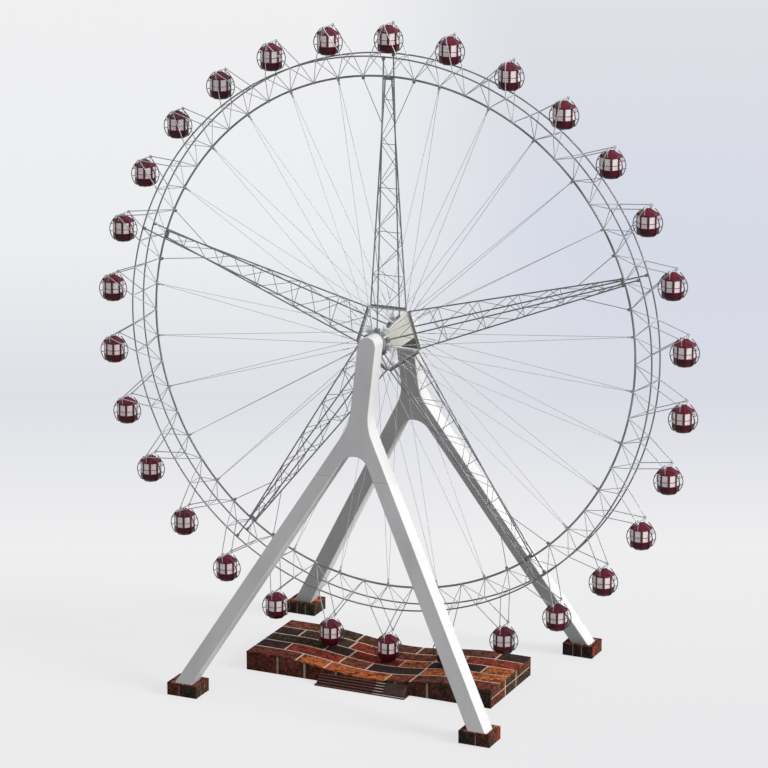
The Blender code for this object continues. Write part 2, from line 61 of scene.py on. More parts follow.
# Rim; most of these sizes, and of those below, are the same in the solids
HUB = Vector(wheel_joint["pos_m"])
PIVOT_RADIUS = 13.50
CABINS = 30
CABIN_STEP = 360.0 / CABINS
SECTORS = 5
SECTOR_STEP = 360.0 / SECTORS
RIM_NODES = 60
NODE_STEP = 360.0 / RIM_NODES
HALF_NODE = NODE_STEP / 2.0
SPLICE_TURN = 5.0 * NODE_STEP
RING_STEPS = 240
INNER_RING = 11.27
INNER_TUBE = 0.045
OUTER_RING = 12.18
OUTER_TUBE = 0.0325
RING_OFFSET = 0.495
RING_ROWS = (-RING_OFFSET, RING_OFFSET)
INNER_SEAT = INNER_RING - INNER_TUBE
OUTER_SEAT = OUTER_RING - OUTER_TUBE
STRUT_TUBE = 0.016
BRACKET_TUBE = 0.021
TIP_X, TIP_DROP = 0.03, 0.05
HOUSING_BACK = 0.053
PAD_HALF_X, PAD_HALF_Y, PAD_DROPS = 0.062, 0.034, (0.072, 0.042)

# Hub
HUB_RING = 1.488
RIM_BAR = 0.034
EDGE_BAR = 0.041
EDGE_RADIUS = 0.33
EDGE_END = 1.10
PANEL = 0.03
PANEL_CUT_RIM = 0.33
PANEL_CUT_EDGE = 0.45
# How far behind the front panel the dark plate of painted shade sits
SHADE_PLATE_BACK = 0.02
COLLAR_RADIUS = 0.47
COLLAR_Y = (1.08, 1.24)
COLLAR_SEAT = 0.457
COLLAR_BOLTS, COLLAR_BOLT_RING = 16, 0.37
SPINDLE_RADIUS, SPINDLE_HALF = 0.215, 1.06

# Spokes and stays, upright above the axle; a chord is (distance out, height) at both ends
SPOKE_FOOT = 1.2543
SEAT_HALF, FOOT_HALF, FOOT_PLATE = 0.80, 0.86, 0.03
FOOT_ROD_HALF, FOOT_ROD_Z, FOOT_ROD = 0.845, 1.308, 0.032
CHORD_ROOT = 1.16
CHORD_TUBE = 0.031
SIDE_CHORD = ((0.83, 1.304), (0.15, 11.175))
FACE_CHORD = ((CHORD_ROOT, 0.529), (RING_OFFSET, 12.097))
SIDE_TUBE_Z, FACE_TUBE_Z = (1.31, 11.16), (0.53, 12.08)
BRACE_TUBE = 0.0145
BRACES = 5
BRACE_START, BRACE_STEP, BRACE_SHIFT = 2.2, 1.9, 0.475
LEFT_CLIMB, RIGHT_CLIMB = 0.76, 0.95
FORK_ROOT = 9.2
LUG_HEIGHT = 0.10
STAY_ROPE = 0.010
STAY_ROOT_Z, STAY_ROOT_STEP, STAY_TIP_Y = 0.556, 0.045, 0.025

# Masts, measured down from the hub
MAST_INNER = 1.485
MAST_DEPTH = 0.783
MAST_LEAN = 0.272
COLUMN_HALF = 0.42
HEAD_RISE = 0.03
FLARE_START, FLARE_LENGTH = 2.60, 0.60
CROTCH_RADIUS = 0.743
OUTER_SLOPE, OUTER_ZERO = 0.592, 2.487
INNER_SLOPE, INNER_ZERO = 0.5855, 3.730
SPLICE_DROP = 5.40
LEG_FOOT_DROP = 14.92
PLATE_EDGE = 0.022
BOSS_Y, BOSS_BOLTS, BOSS_BOLT_RING, BOSS_BOLT_Y = 1.331, 12, 0.305, 1.392

# Cabins, measured from their axle
FLATS = 8
FLAT_STEP = 2.0 * math.pi / FLATS
HALF_FLAT = FLAT_STEP / 2.0
CABIN_HALF = 0.435
CORNER_CUT = 0.035
POST_DROPS = (0.310, 0.860)
PANE_DROPS = ((0.349, 0.628), (0.652, 0.823))
HANDLE_DROPS = (0.80, 0.68)
HOOP_TUBE, HOOP_Y, HOOP_STEPS = 0.019, 0.20, 24
HOOP_TOP, HOOP_LENGTH = 0.075, 1.085
HOOP_ROOT, HOOP_BOW, HOOP_FOOT = 0.10, 0.475, 0.315
TIE_ROD = 0.010

# Feet, platform and steps
FOOT_X, FOOT_Y = (6.148, 7.568), (5.2725, 6.4875)
FOOT_HEIGHT, FOOT_COURSE = 0.58, (0.0, 0.53)
POCKET_X, POCKET_Y = (6.405, 7.400), (5.454, 6.367)
# The middle value holds the heights of a thin dark sheet on each pocket's floor, painted shade for the
# recess
POCKET_FLOOR, POCKET_SHADE_Z, POCKET_GAP = 0.3995, (0.3996, 0.403), 0.004
PLATFORM_X, PLATFORM_Y = 5.85, 2.27
PLATFORM_LOW, PLATFORM_RISE = 0.50, 0.36
PLATFORM_ROWS = 5
CORE_STEPS = 48
DIP_HALF = 4.40
STEP_RISE, STEP_DEPTH, STEP_COUNT = 0.085, 0.12, 5
FLIGHT_X, BOTTOM_STEP_X = (-2.20, 0.95), (-2.25, 2.05)
# Length of each step's pale right end, a painted highlight where the light from the right falls
HIGHLIGHT_LENGTH = 0.42
CHEEK_FOOT, CHEEK_FRONT, CHEEK_BACK, CHEEK_EDGE = 0.075, 0.105, 0.46, 0.012
BRICK_EDGE = 0.022
BRICK_ROUGH = 0.006
MORTAR_DEPTH = 0.024
JOINT, FOOT_SIDE_JOINT, FOOT_TOP_JOINT = 0.10, 0.035, 0.03
PLATFORM_SEED, FEET_SEED = 11, 5
ROW_DRAWS, ROW_FULL, LENGTH_SPREAD = 40, 0.97, (0.92, 1.08)

# Camera, light and floor; the floor's tones follow the camera's heading
VIEW_PLACE = (58.640, -128.802, 52.685)
VIEW_TILT = math.radians(74.406)
VIEW_TURN = math.radians(24.555)
VIEW_LENS = 160.04
VIEW_AHEAD = (-math.sin(VIEW_TURN), math.cos(VIEW_TURN), 0.0)
VIEW_RIGHT = (math.cos(VIEW_TURN), math.sin(VIEW_TURN), 0.0)
SUN_TOWARD = Vector((0.86, 0.04, 0.51))
SUN_ENERGY = 3.3
SUN_SPREAD = math.radians(25.0)
SKY_STRENGTH = 0.70
FLOOR_HALF = 900.0
FLOOR_GLOW = 0.805
FLOOR_NEAR_FAR = (-21.5, 198.5)
FLOOR_SIDES = (-6.0, 14.0)


def circle(middle, across, upright, radius, sides, shift=0.0):
    """Points round a circle that lies along these two directions."""
    turns = [2.0 * math.pi * (i + shift) / sides for i in range(sides)]
    return [middle + (across * math.cos(turn) + upright * math.sin(turn)) * radius for turn in turns]


class Shape:
    """Points and faces gathered for one mesh, each face with a material slot and a tone."""

    def __init__(self):
        self.points = []
        self.faces = []
        self.slots = []
        self.tones = []

    def add(self, points, faces, slot=0, tone=0.0):
        start = len(self.points)
        self.points += points
        self.faces += [tuple(start + i for i in face) for face in faces]
        self.slots += [slot] * len(faces)
        self.tones += [tone] * len(faces)

    def loft(self, rows, slot=0, loop=False, tone=0.0):
        """A skin over rows of points, closed at both ends or joined end to end."""
        wide, count = len(rows[0]), len(rows)
        faces = []
        for r in range(count if loop else count - 1):
            s = (r + 1) % count
            for i in range(wide):
                j = (i + 1) % wide
                faces.append((r * wide + i, r * wide + j, s * wide + j, s * wide + i))
        if not loop:
            faces.append(tuple(range(wide))[::-1])
            faces.append(tuple((count - 1) * wide + i for i in range(wide)))
        self.add([point for row in rows for point in row], faces, slot, tone)

    def lathe(self, base, axis, profile, sides=16, slot=0):
        """Circles of (radius, distance along the axis), joined in turn."""
        axis = axis.normalized()
        across = axis.orthogonal().normalized()
        upright = axis.cross(across)
        rows = [circle(base + axis * along, across, upright, radius, sides) for radius, along in profile]
        self.loft(rows, slot)

    def rod(self, start, end, radius, sides=8, slot=0):
        start, end = Vector(start), Vector(end)
        self.lathe(start, end - start, [(radius, 0.0), (radius, (end - start).length)], sides, slot)

    def swept(self, path, radius, normal, sides=8, slot=0, loop=False):
        """A round tube along a flat path, whose plane has this normal."""
        rows = []
        for i, point in enumerate(path):
            before = path[i - 1] if loop or i else path[0]
            after = path[(i + 1) % len(path)] if loop or i + 1 < len(path) else path[-1]
            across = (after - before).cross(normal).normalized()
            rows.append(circle(point, across, normal, radius, sides, 0.5))
        self.loft(rows, slot, loop)

    def block(self, low, high, matrix=None, edge=0.008, slot=0):
        """A box with chamfered edges, whose corner k has one bit for each axis."""
        matrix = matrix or Matrix.Identity(4)
        middle = (Vector(low) + Vector(high)) / 2.0
        half = (Vector(high) - Vector(low)) / 2.0
        points, faces = [], []
        for k in range(8):
            for axis in range(3):
                reach = [half[a] - (0.0 if a == axis else edge) for a in range(3)]
                offset = Vector([reach[a] if k >> a & 1 else -reach[a] for a in range(3)])
                points.append(matrix @ (middle + offset))
            faces.append((3 * k, 3 * k + 1, 3 * k + 2))
        for axis in range(3):
            b, c = [a for a in range(3) if a != axis]
            for s in (0, 1):
                ring = [s << axis | t << b | u << c for t, u in ((0, 0), (0, 1), (1, 1), (1, 0))]
                faces.append(tuple(3 * k + axis for k in ring))
                for t in (0, 1):
                    first = s << b | t << c
                    second = first | 1 << axis
                    faces.append((3 * first + b, 3 * second + b, 3 * second + c, 3 * first + c))
        self.add(points, faces, slot)

    def mesh(self, name, flat=()):
        """The gathered mesh, smooth but for sharp edges and for the faces in the flat slots."""
        data = bpy.data.meshes.new(name)
        data.from_pydata(self.points, [], self.faces)
        data.polygons.foreach_set("material_index", self.slots)
        if any(self.tones):
            tone = data.attributes.new("tone", "FLOAT", "FACE")
            tone.data.foreach_set("value", self.tones)
        bm = bmesh.new()
        bm.from_mesh(data)
        bmesh.ops.recalc_face_normals(bm, faces=bm.faces)
        bm.to_mesh(data)
        bm.free()
        data.polygons.foreach_set("use_smooth", [slot not in flat for slot in self.slots])
        data.set_sharp_from_angle(angle=SHARP)
        return data


def linked(name, data):
    """A new object with this data, in the scene."""
    item = bpy.data.objects.new(name, data)
    bpy.context.scene.collection.objects.link(item)
    return item


def piece(name, data, materials, body, nodes=(), location=None):
    """A shown object from a shape or a mesh, riding on a body and standing for these solids."""
    if isinstance(data, Shape):
        data = data.mesh(name)
    if not data.materials:
        for material in materials:
            data.materials.append(material)
    item = linked(name, data)
    if location is not None:
        item.location = location
    bpy.context.view_layer.update()
    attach(item, body)
    if nodes:
        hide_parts(*nodes)


def around(radius, degrees, y=0.0):
    """A point at this radius from the axle, clockwise from the top as seen from the front."""
    turn = math.radians(degrees)
    return HUB + Vector((radius * math.sin(turn), y, radius * math.cos(turn)))


def tangent(degrees):
    """The clockwise direction along the rim at this angle."""
    return around(1.0, degrees + 90.0) - HUB


def turned(degrees):
    """Places a shape made upright above the hub at this angle round it."""
    return Matrix.Translation(HUB) @ Matrix.Rotation(math.radians(degrees), 4, "Y")


def fill(tree, node, inputs):
    """Gives a node's inputs their values, each a number, a colour or another node's output."""
    for key, value in inputs.items():
        socket = node.inputs[key]
        if isinstance(value, bpy.types.NodeSocket):
            tree.links.new(value, socket)
        elif socket.type == "RGBA":
            socket.default_value = (*value, 1.0)
        else:
            socket.default_value = value
    return node


def add_node(tree, kind, inputs):
    return fill(tree, tree.nodes.new(kind), inputs)


def new_material(name, roughness, metallic=0.0):
    material = bpy.data.materials.new(name)
    material.use_nodes = True
    tree = material.node_tree
    shader = fill(tree, tree.nodes["Principled BSDF"], {"Roughness": roughness, "Metallic": metallic})
    return material, tree, shader


def noise_node(tree, scale, detail, stretch=(1.0, 1.0, 1.0)):
    """Fractal noise in the object's own coordinates."""
    place = tree.nodes.new("ShaderNodeTexCoord").outputs["Object"]
    mapping = add_node(tree, "ShaderNodeMapping", {"Vector": place, "Scale": stretch})
    inputs = {"Vector": mapping.outputs["Vector"], "Scale": scale, "Detail": detail}
    return add_node(tree, "ShaderNodeTexNoise", inputs).outputs["Fac"]


def ramp_node(tree, source, stops, steps=False):
    """A colour for each value of the source, blended between the stops or in plain steps."""
    node = add_node(tree, "ShaderNodeValToRGB", {"Fac": source})
    ramp = node.color_ramp
    if steps:
        ramp.interpolation = "CONSTANT"
    while len(ramp.elements) < len(stops):
        ramp.elements.new(0.5)
    for element, (position, color) in zip(ramp.elements, stops):
        element.position = position
        element.color = (*color, 1.0)
    return node.outputs["Color"]


def mix_node(tree, blend, factor, first, second):
    """Two colours blended."""
    mix = tree.nodes.new("ShaderNodeMix")
    mix.data_type = "RGBA"
    mix.blend_type = blend
    fill(tree, mix, {"Factor": factor, 6: first, 7: second})
    return mix.outputs[2]


def bump_node(tree, scale, detail, strength, distance):
    """Normals of a fine, noisy relief."""
    inputs = {"Height": noise_node(tree, scale, detail), "Strength": strength, "Distance": distance}
    return add_node(tree, "ShaderNodeBump", inputs).outputs["Normal"]


def paint(name, dark, light, roughness, scale, metallic=0.0, grain=60.0, bump=0.08, gloss=0.5):
    """A stained surface: large soft stains, drawn out downwards, and a fine grain."""
    material, tree, shader = new_material(name, roughness, metallic)
    stains = noise_node(tree, scale, 6.0, STAIN_STRETCH)
    shiny, dull = roughness * 0.85, min(1.0, roughness * 1.2)
    inputs = {
        "Base Color": ramp_node(tree, stains, [(0.30, dark), (0.62, light)]),
        "Roughness": ramp_node(tree, stains, [(0.3, (dull,) * 3), (0.7, (shiny,) * 3)]),
        "Normal": bump_node(tree, grain, 2.0, bump, GRAIN_DEPTH),
        "Specular IOR Level": gloss,
    }
    fill(tree, shader, inputs)
    return material


def brick_material(stops):
    """Fired brick: one tone to a block, finely mottled, burnt black in patches, and pitted."""
    material, tree, shader = new_material("fired_brick", 0.88)
    tone = tree.nodes.new("ShaderNodeAttribute")
    tone.attribute_name = "tone"
    base = ramp_node(tree, tone.outputs["Fac"], stops, steps=True)
    mottle = [(0.38, (0.36, 0.31, 0.29)), (0.62, (1.30, 1.25, 1.2))]
    mottled = mix_node(tree, "MULTIPLY", 1.0, base, ramp_node(tree, noise_node(tree, 9.0, 10.0), mottle))
    patches = [(0.50, (0.0,) * 3), (0.62, (0.85,) * 3)]
    burnt = ramp_node(tree, noise_node(tree, 3.4, 7.0), patches)
    inputs = {
        "Base Color": mix_node(tree, "MIX", burnt, mottled, (0.028, 0.016, 0.011)),
        "Normal": bump_node(tree, 28.0, 6.0, 0.6, 0.02),
        "Specular IOR Level": 0.12,
    }
    fill(tree, shader, inputs)
    return material


def glass_material():
    """Pale, slightly hazy panes, partly clear and with a faint painted glow for the brightness of daylit
    glass.
    """
    material, tree, shader = new_material("window_glass", 0.06)
    haze = [(0.3, (0.93, 0.80, 0.82)), (0.7, (1.0, 0.95, 0.95))]
    color = ramp_node(tree, noise_node(tree, 2.5, 3.0), haze)
    # The emission is painted light: the panes glow faintly though they are no lamp
    fill(tree, shader, {"Base Color": color, "Emission Color": color, "Emission Strength": 0.12})
    fill(tree, shader, {"Alpha": 0.6, "Coat Weight": 0.6})
    return material


WHITE_STEEL = paint("white_paint", (0.66, 0.66, 0.65), (0.80, 0.80, 0.79), 0.42, 0.55)
HUB_STEEL = paint("cream_paint", (0.60, 0.59, 0.52), (0.74, 0.73, 0.66), 0.5, 1.2)
GREY_STEEL = paint("grey_paint", (0.17, 0.175, 0.18), (0.28, 0.285, 0.29), 0.42, 2.0, 0.3)
DARK_STEEL = paint("dark_paint", (0.045, 0.042, 0.044), (0.085, 0.082, 0.085), 0.4, 3.0, 0.1)
PALE_TUBE = paint("pale_tube_paint", (0.46, 0.47, 0.48), (0.60, 0.61, 0.62), 0.42, 2.0, 0.1)
ROPE = paint("stay_rope", (0.50, 0.51, 0.53), (0.68, 0.69, 0.71), 0.45, 9.0, 0.15, 90.0, 0.25)
FITTING = paint("zinc_fitting", (0.42, 0.43, 0.44), (0.62, 0.63, 0.64), 0.36, 8.0, 0.5)
CABIN_RED = paint("cabin_crimson", (0.080, 0.001, 0.010), (0.175, 0.004, 0.028), 0.24, 3.0, gloss=0.4)
CABIN_TUB = paint("tub_crimson", (0.040, 0.001, 0.005), (0.088, 0.001, 0.011), 0.30, 3.0, gloss=0.2)
CABIN_FLOOR = paint("cabin_floor", (0.05, 0.048, 0.046), (0.10, 0.095, 0.09), 0.7, 12.0)
SEAL = paint("window_seal", (0.015, 0.014, 0.014), (0.035, 0.033, 0.032), 0.65, 14.0)
# Paint for the dark plate in the hub panel's cut corner: painted shade for the shadowed inside seen
# through it
SHADE_PLATE = paint("painted_shade_plate", (0.030, 0.028, 0.020), (0.060, 0.055, 0.042), 0.6, 4.0)
GLASS = glass_material()
BRICK = brick_material(
    [
        (0.00, (0.200, 0.062, 0.034)),
        (0.20, (0.480, 0.135, 0.042)),
        (0.31, (0.160, 0.042, 0.026)),
        (0.47, (0.060, 0.045, 0.028)),
        (0.58, (0.290, 0.045, 0.026)),
        (0.68, (0.135, 0.048, 0.032)),
        (0.84, (0.046, 0.027, 0.029)),
    ]
)
MORTAR = paint("pale_mortar", (0.42, 0.27, 0.205), (0.66, 0.47, 0.37), 0.9, 9.0, 0.0, 40.0, 0.5)
# Near-black for the steps and cheek: their own dark colour, and on the risers also painted shade under
# each nosing
TREAD = paint("dark_tread", (0.020, 0.010, 0.008), (0.050, 0.022, 0.015), 0.7, 6.0, 0.0, 30.0, 0.35)
NOSING = paint("brown_nosing", (0.120, 0.035, 0.022), (0.220, 0.065, 0.038), 0.6, 8.0)
# Pale paint for the steps' right ends: a painted highlight
STEP_END_HIGHLIGHT = paint("painted_highlight_step_end", (0.40, 0.30, 0.22), (0.66, 0.54, 0.42), 0.6, 8.0)
# Near-black paint for the sheet on each pocket's floor: painted shade in the recess
POCKET_SHADE = paint("pocket_painted_shade", (0.020, 0.018, 0.016), (0.05, 0.045, 0.04), 0.8, 8.0)

# Tones that the blocks are chosen from, each within one of the brick's stops
DARK_TONES = (0.10, 0.38, 0.75, 0.92, 0.52, 0.40, 0.75)
FOOT_SIDE_TONES = (0.52, 0.92, 0.75, 0.52, 0.40)
FOOT_END_TONES = FOOT_SIDE_TONES + (0.63, 0.63)
FOOT_TOP_TONES = DARK_TONES + (0.25,)


def add_bolts(shape, centres, axis, radius, height, slot):
    """Six-sided bolt heads standing on a face."""
    profile = [(radius, 0.0), (radius, height * 0.8), (radius * 0.8, height)]
    for centre in centres:
        shape.lathe(centre, axis, profile, 6, slot)


def bolt_ring(count, radius, y):
    """Points spread evenly round the wheel's axle."""
    return [around(radius, 360.0 * (k + 0.5) / count, y) for k in range(count)]


def make_rings():
    """The rim's three rings as true round tubes, with flanged splices where its fifths meet."""
    for name, radius, tube, rows in (
        ("inner_ring", INNER_RING, INNER_TUBE, (0.0,)),
        ("outer_rings", OUTER_RING, OUTER_TUBE, RING_ROWS),
    ):
        shape = Shape()
        sleeve, flange = tube + 0.004, tube * 1.75
        half = [(sleeve, 0.07), (sleeve, 0.022), (flange, 0.018), (flange, 0.002)]
        splice = [(wide, -along) for wide, along in half] + [(flange * 0.97, 0.0)] + half[::-1]
        for y in rows:
            path = [around(radius, 360.0 * i / RING_STEPS, y) for i in range(RING_STEPS)]
            shape.swept(path, tube, ALONG_Y, 12, 0, True)
            for i in range(SECTORS):
                angle = SECTOR_STEP * i - SPLICE_TURN
                shape.lathe(around(radius, angle, y), tangent(angle), splice, 16, 1)
        piece(name, shape, [GREY_STEEL, FITTING], "wheel", ())


def make_rim_lattice():
    """Zigzag struts from the inner ring to both outer rings, and cross bars between those."""
    shape = Shape()
    inner_sleeve = [(0.048, -0.07), (0.053, -0.055), (0.053, 0.055), (0.048, 0.07)]
    outer_sleeve = [(0.036, -0.05), (0.040, -0.04), (0.040, 0.04), (0.036, 0.05)]
    for i in range(RIM_NODES):
        angle = NODE_STEP * i
        between = angle + HALF_NODE
        foot = around(INNER_RING, angle)
        shape.lathe(foot, tangent(angle), inner_sleeve, 12)
        for y in RING_ROWS:
            for side in SIDES:
                shape.rod(foot, around(OUTER_RING, angle + side * HALF_NODE, y), STRUT_TUBE)
            shape.lathe(around(OUTER_RING, between, y), tangent(between), outer_sleeve, 10)
        front, rear = [around(OUTER_RING, between, y) for y in RING_ROWS]
        shape.rod(front, rear, STRUT_TUBE)
    nodes = [f"rim_segment_{i + 1}" for i in range(SECTORS)]
    piece("rim_lattice", shape, [PALE_TUBE], "wheel", nodes)


def make_brackets():
    """Two pairs of legs to each cabin's axle, with a bearing housing and its pad at the tips."""
    shape = Shape()
    housing = [(0.036, 0.0), (0.050, 0.006), (0.054, 0.02), (0.054, 0.078), (0.046, 0.092)]
    housing += [(0.030, 0.096), (0.026, 0.107)]
    pad_low, pad_high = [PIVOT_RADIUS - drop for drop in PAD_DROPS]
    for i in range(CABINS):
        angle = CABIN_STEP * i
        matrix = turned(angle)
        for y in RING_ROWS:
            for side in SIDES:
                tip = matrix @ Vector((side * TIP_X, y, PIVOT_RADIUS - TIP_DROP))
                shape.rod(around(OUTER_RING, angle + side * HALF_NODE, y), tip, BRACKET_TUBE)
            out = math.copysign(1.0, y)
            base = around(PIVOT_RADIUS, angle, y) - ALONG_Y * (HOUSING_BACK * out)
            shape.lathe(base, ALONG_Y * out, housing, 20)
            low = (-PAD_HALF_X, y - PAD_HALF_Y, pad_low)
            shape.block(low, (PAD_HALF_X, y + PAD_HALF_Y, pad_high), matrix)
            face = y + out * (PAD_HALF_Y + HAIRLINE)
            heads = [matrix @ Vector((x, face, (pad_low + pad_high) / 2.0)) for x in (-0.042, 0.042)]
            add_bolts(shape, heads, ALONG_Y * out, 0.009, 0.009, 1)
    piece("cabin_brackets", shape, [PALE_TUBE, FITTING], "wheel", ())


def chord_reach(ends, z):
    """How far out a straight chord is at this height."""
    (low_reach, low_z), (high_reach, high_z) = ends
    share = (z - low_z) / (high_z - low_z)
    return low_reach + (high_reach - low_reach) * share


def side_chord(z, side):
    return Vector((side * chord_reach(SIDE_CHORD, z), 0.0, z))


def face_chord(z, side):
    return Vector((0.0, side * chord_reach(FACE_CHORD, z), z))


def brace_path(side_x, side_y):
    """One zigzag up the spoke, whose corners lie on a face chord and a side chord in turn."""
    start = BRACE_START + (BRACE_SHIFT if side_y > 0.0 else 0.0)
    climb = RIGHT_CLIMB if side_x > 0.0 else LEFT_CLIMB
    path = [face_chord(start - BRACE_STEP + climb, side_y)]
    for i in range(BRACES):
        z = start + BRACE_STEP * i
        path += [side_chord(z, side_x), face_chord(z + climb, side_y)]
    return path


def add_lug(shape, half_x, half_y, seat, matrix=None, y=0.0, slot=0):
    """A block under a ring, whose inner side is this far out."""
    low = (-half_x, y - half_y, seat - LUG_HEIGHT)
    shape.block(low, (half_x, y + half_y, seat - HAIRLINE), matrix, 0.012, slot)


def add_collar_block(shape, side, half_x, height, spots, slot=0):
    """A block on the collar of one end, with bolts at these (x, z) of its outer face."""
    y_low, y_high = sorted((side * COLLAR_Y[0], side * COLLAR_Y[1]))
    high = (half_x, y_high, COLLAR_SEAT + height)
    shape.block((-half_x, y_low, COLLAR_SEAT), high, None, 0.014, slot)
    heads = [Vector((x, side * COLLAR_Y[1], z)) for x, z in spots]
    add_bolts(shape, heads, ALONG_Y * side, 0.014, 0.012, 1)


def spoke_shape():
    """One truss above the hub: four round chords, zigzag bracing, a bolted foot and a fork at the rim."""
    shape = Shape()
    top = SPOKE_FOOT + FOOT_PLATE
    shape.block((-FOOT_HALF, -0.034, SPOKE_FOOT), (FOOT_HALF, 0.034, top), None, 0.006)
    shape.rod((-FOOT_ROD_HALF, 0.0, FOOT_ROD_Z), (FOOT_ROD_HALF, 0.0, FOOT_ROD_Z), FOOT_ROD, 14)
    spots = [(side * x, y) for side in SIDES for x in (0.25, 0.55, 0.78) for y in (-0.026, 0.026)]
    add_bolts(shape, [Vector((x, y, top)) for x, y in spots], ALONG_Z, 0.008, 0.010, 1)
    add_lug(shape, 0.20, 0.045, INNER_SEAT)
    for side in SIDES:
        for chord, ends in ((side_chord, SIDE_TUBE_Z), (face_chord, FACE_TUBE_Z)):
            shape.rod(chord(ends[0], side), chord(ends[1], side), CHORD_TUBE, 14)
        add_collar_block(shape, side, 0.12, 0.145, [(x, z) for x in (-0.08, 0.08) for z in (0.50, 0.56)])
        add_lug(shape, 0.06, 0.06, OUTER_SEAT, None, side * RING_OFFSET)
        matrix = Matrix.Rotation(math.radians(side * NODE_STEP), 4, "Y")
        add_lug(shape, 0.06, 0.045, INNER_SEAT, matrix)
        fork_tip = matrix @ Vector((0.0, 0.0, INNER_SEAT - LUG_HEIGHT / 2.0))
        shape.rod(side_chord(FORK_ROOT, side), fork_tip, STRUT_TUBE)
        for side_x in SIDES:
            path = brace_path(side_x, side)
            for low, high in zip(path, path[1:]):
                shape.rod(low, high, BRACE_TUBE)
    for i in range(BRACES):
        z = BRACE_START + BRACE_SHIFT + BRACE_STEP * i
        shape.rod(side_chord(z, 1.0), side_chord(z, -1.0), BRACE_TUBE)
    return shape


def stay_shape():
    """Five pairs of taut stays above the hub, with anchor plates, turnbuckles and forks at the rim."""
    shape = Shape()
    hub_fork = [(0.020, 0.05), (0.020, 0.20), (0.012, 0.24)]
    rim_fork = [(0.020, 0.02), (0.020, 0.20), (0.012, 0.24)]
    turnbuckle = [(0.012, 0.88), (0.022, 0.90), (0.022, 0.96), (0.016, 0.97), (0.016, 1.12)]
    turnbuckle += [(0.022, 1.13), (0.022, 1.19), (0.012, 1.21)]
    for side in SIDES:
        spots = [(x, COLLAR_SEAT + 0.05) for x in (-0.09, 0.0, 0.09)]
        add_collar_block(shape, side, 0.13, 0.165, spots, 2)
    for place in range(-2, 3):
        matrix = Matrix.Rotation(math.radians(CABIN_STEP * place), 4, "Y")
        add_lug(shape, 0.05, 0.05, INNER_SEAT, matrix, 0.0, 2)
        for side in SIDES:
            start = Vector((STAY_ROOT_STEP * place, side * CHORD_ROOT, STAY_ROOT_Z))
            end = matrix @ Vector((0.0, side * STAY_TIP_Y, INNER_SEAT - LUG_HEIGHT / 2.0))
            along = (end - start).normalized()
            shape.rod(start, end, STAY_ROPE)
            shape.lathe(start, along, hub_fork, 10, 1)
            shape.lathe(start, along, turnbuckle, 10, 1)
            shape.lathe(end, -along, rim_fork, 10, 1)
    return shape


def make_spokes_and_stays():
    truss = spoke_shape().mesh("spoke_truss_tubes")
    stays = stay_shape().mesh("stay_ropes")
    kinds = (
        ("spoke_tubes", truss, [GREY_STEEL, FITTING], "spoke_truss", "grey_steel", 0.0),
        ("stay_ropes", stays, [ROPE, FITTING, PALE_TUBE], "stay_cables", "cable_steel", SECTOR_STEP / 2.0),
    )
    for i in range(SECTORS):
        for name, data, materials, node, slot, turn in kinds:
            mesh = data.copy()
            mesh.transform(turned(SECTOR_STEP * i + turn))
            piece(f"{name}_{i + 1}", mesh, materials, "wheel", (f"{node}_{i + 1}",))


def flat_plate(shape, outline, thick, slot):
    """A flat plate round this outline, with both faces a little smaller at the edge."""
    normal = (outline[1] - outline[0]).cross(outline[2] - outline[0]).normalized()
    middle = sum(outline, Vector()) / len(outline)
    rows = []
    for out, share in ((-0.5, 0.985), (-0.3, 1.0), (0.3, 1.0), (0.5, 0.985)):
        rows.append([middle + (point - middle) * share + normal * thick * out for point in outline])
    shape.loft(rows, slot)


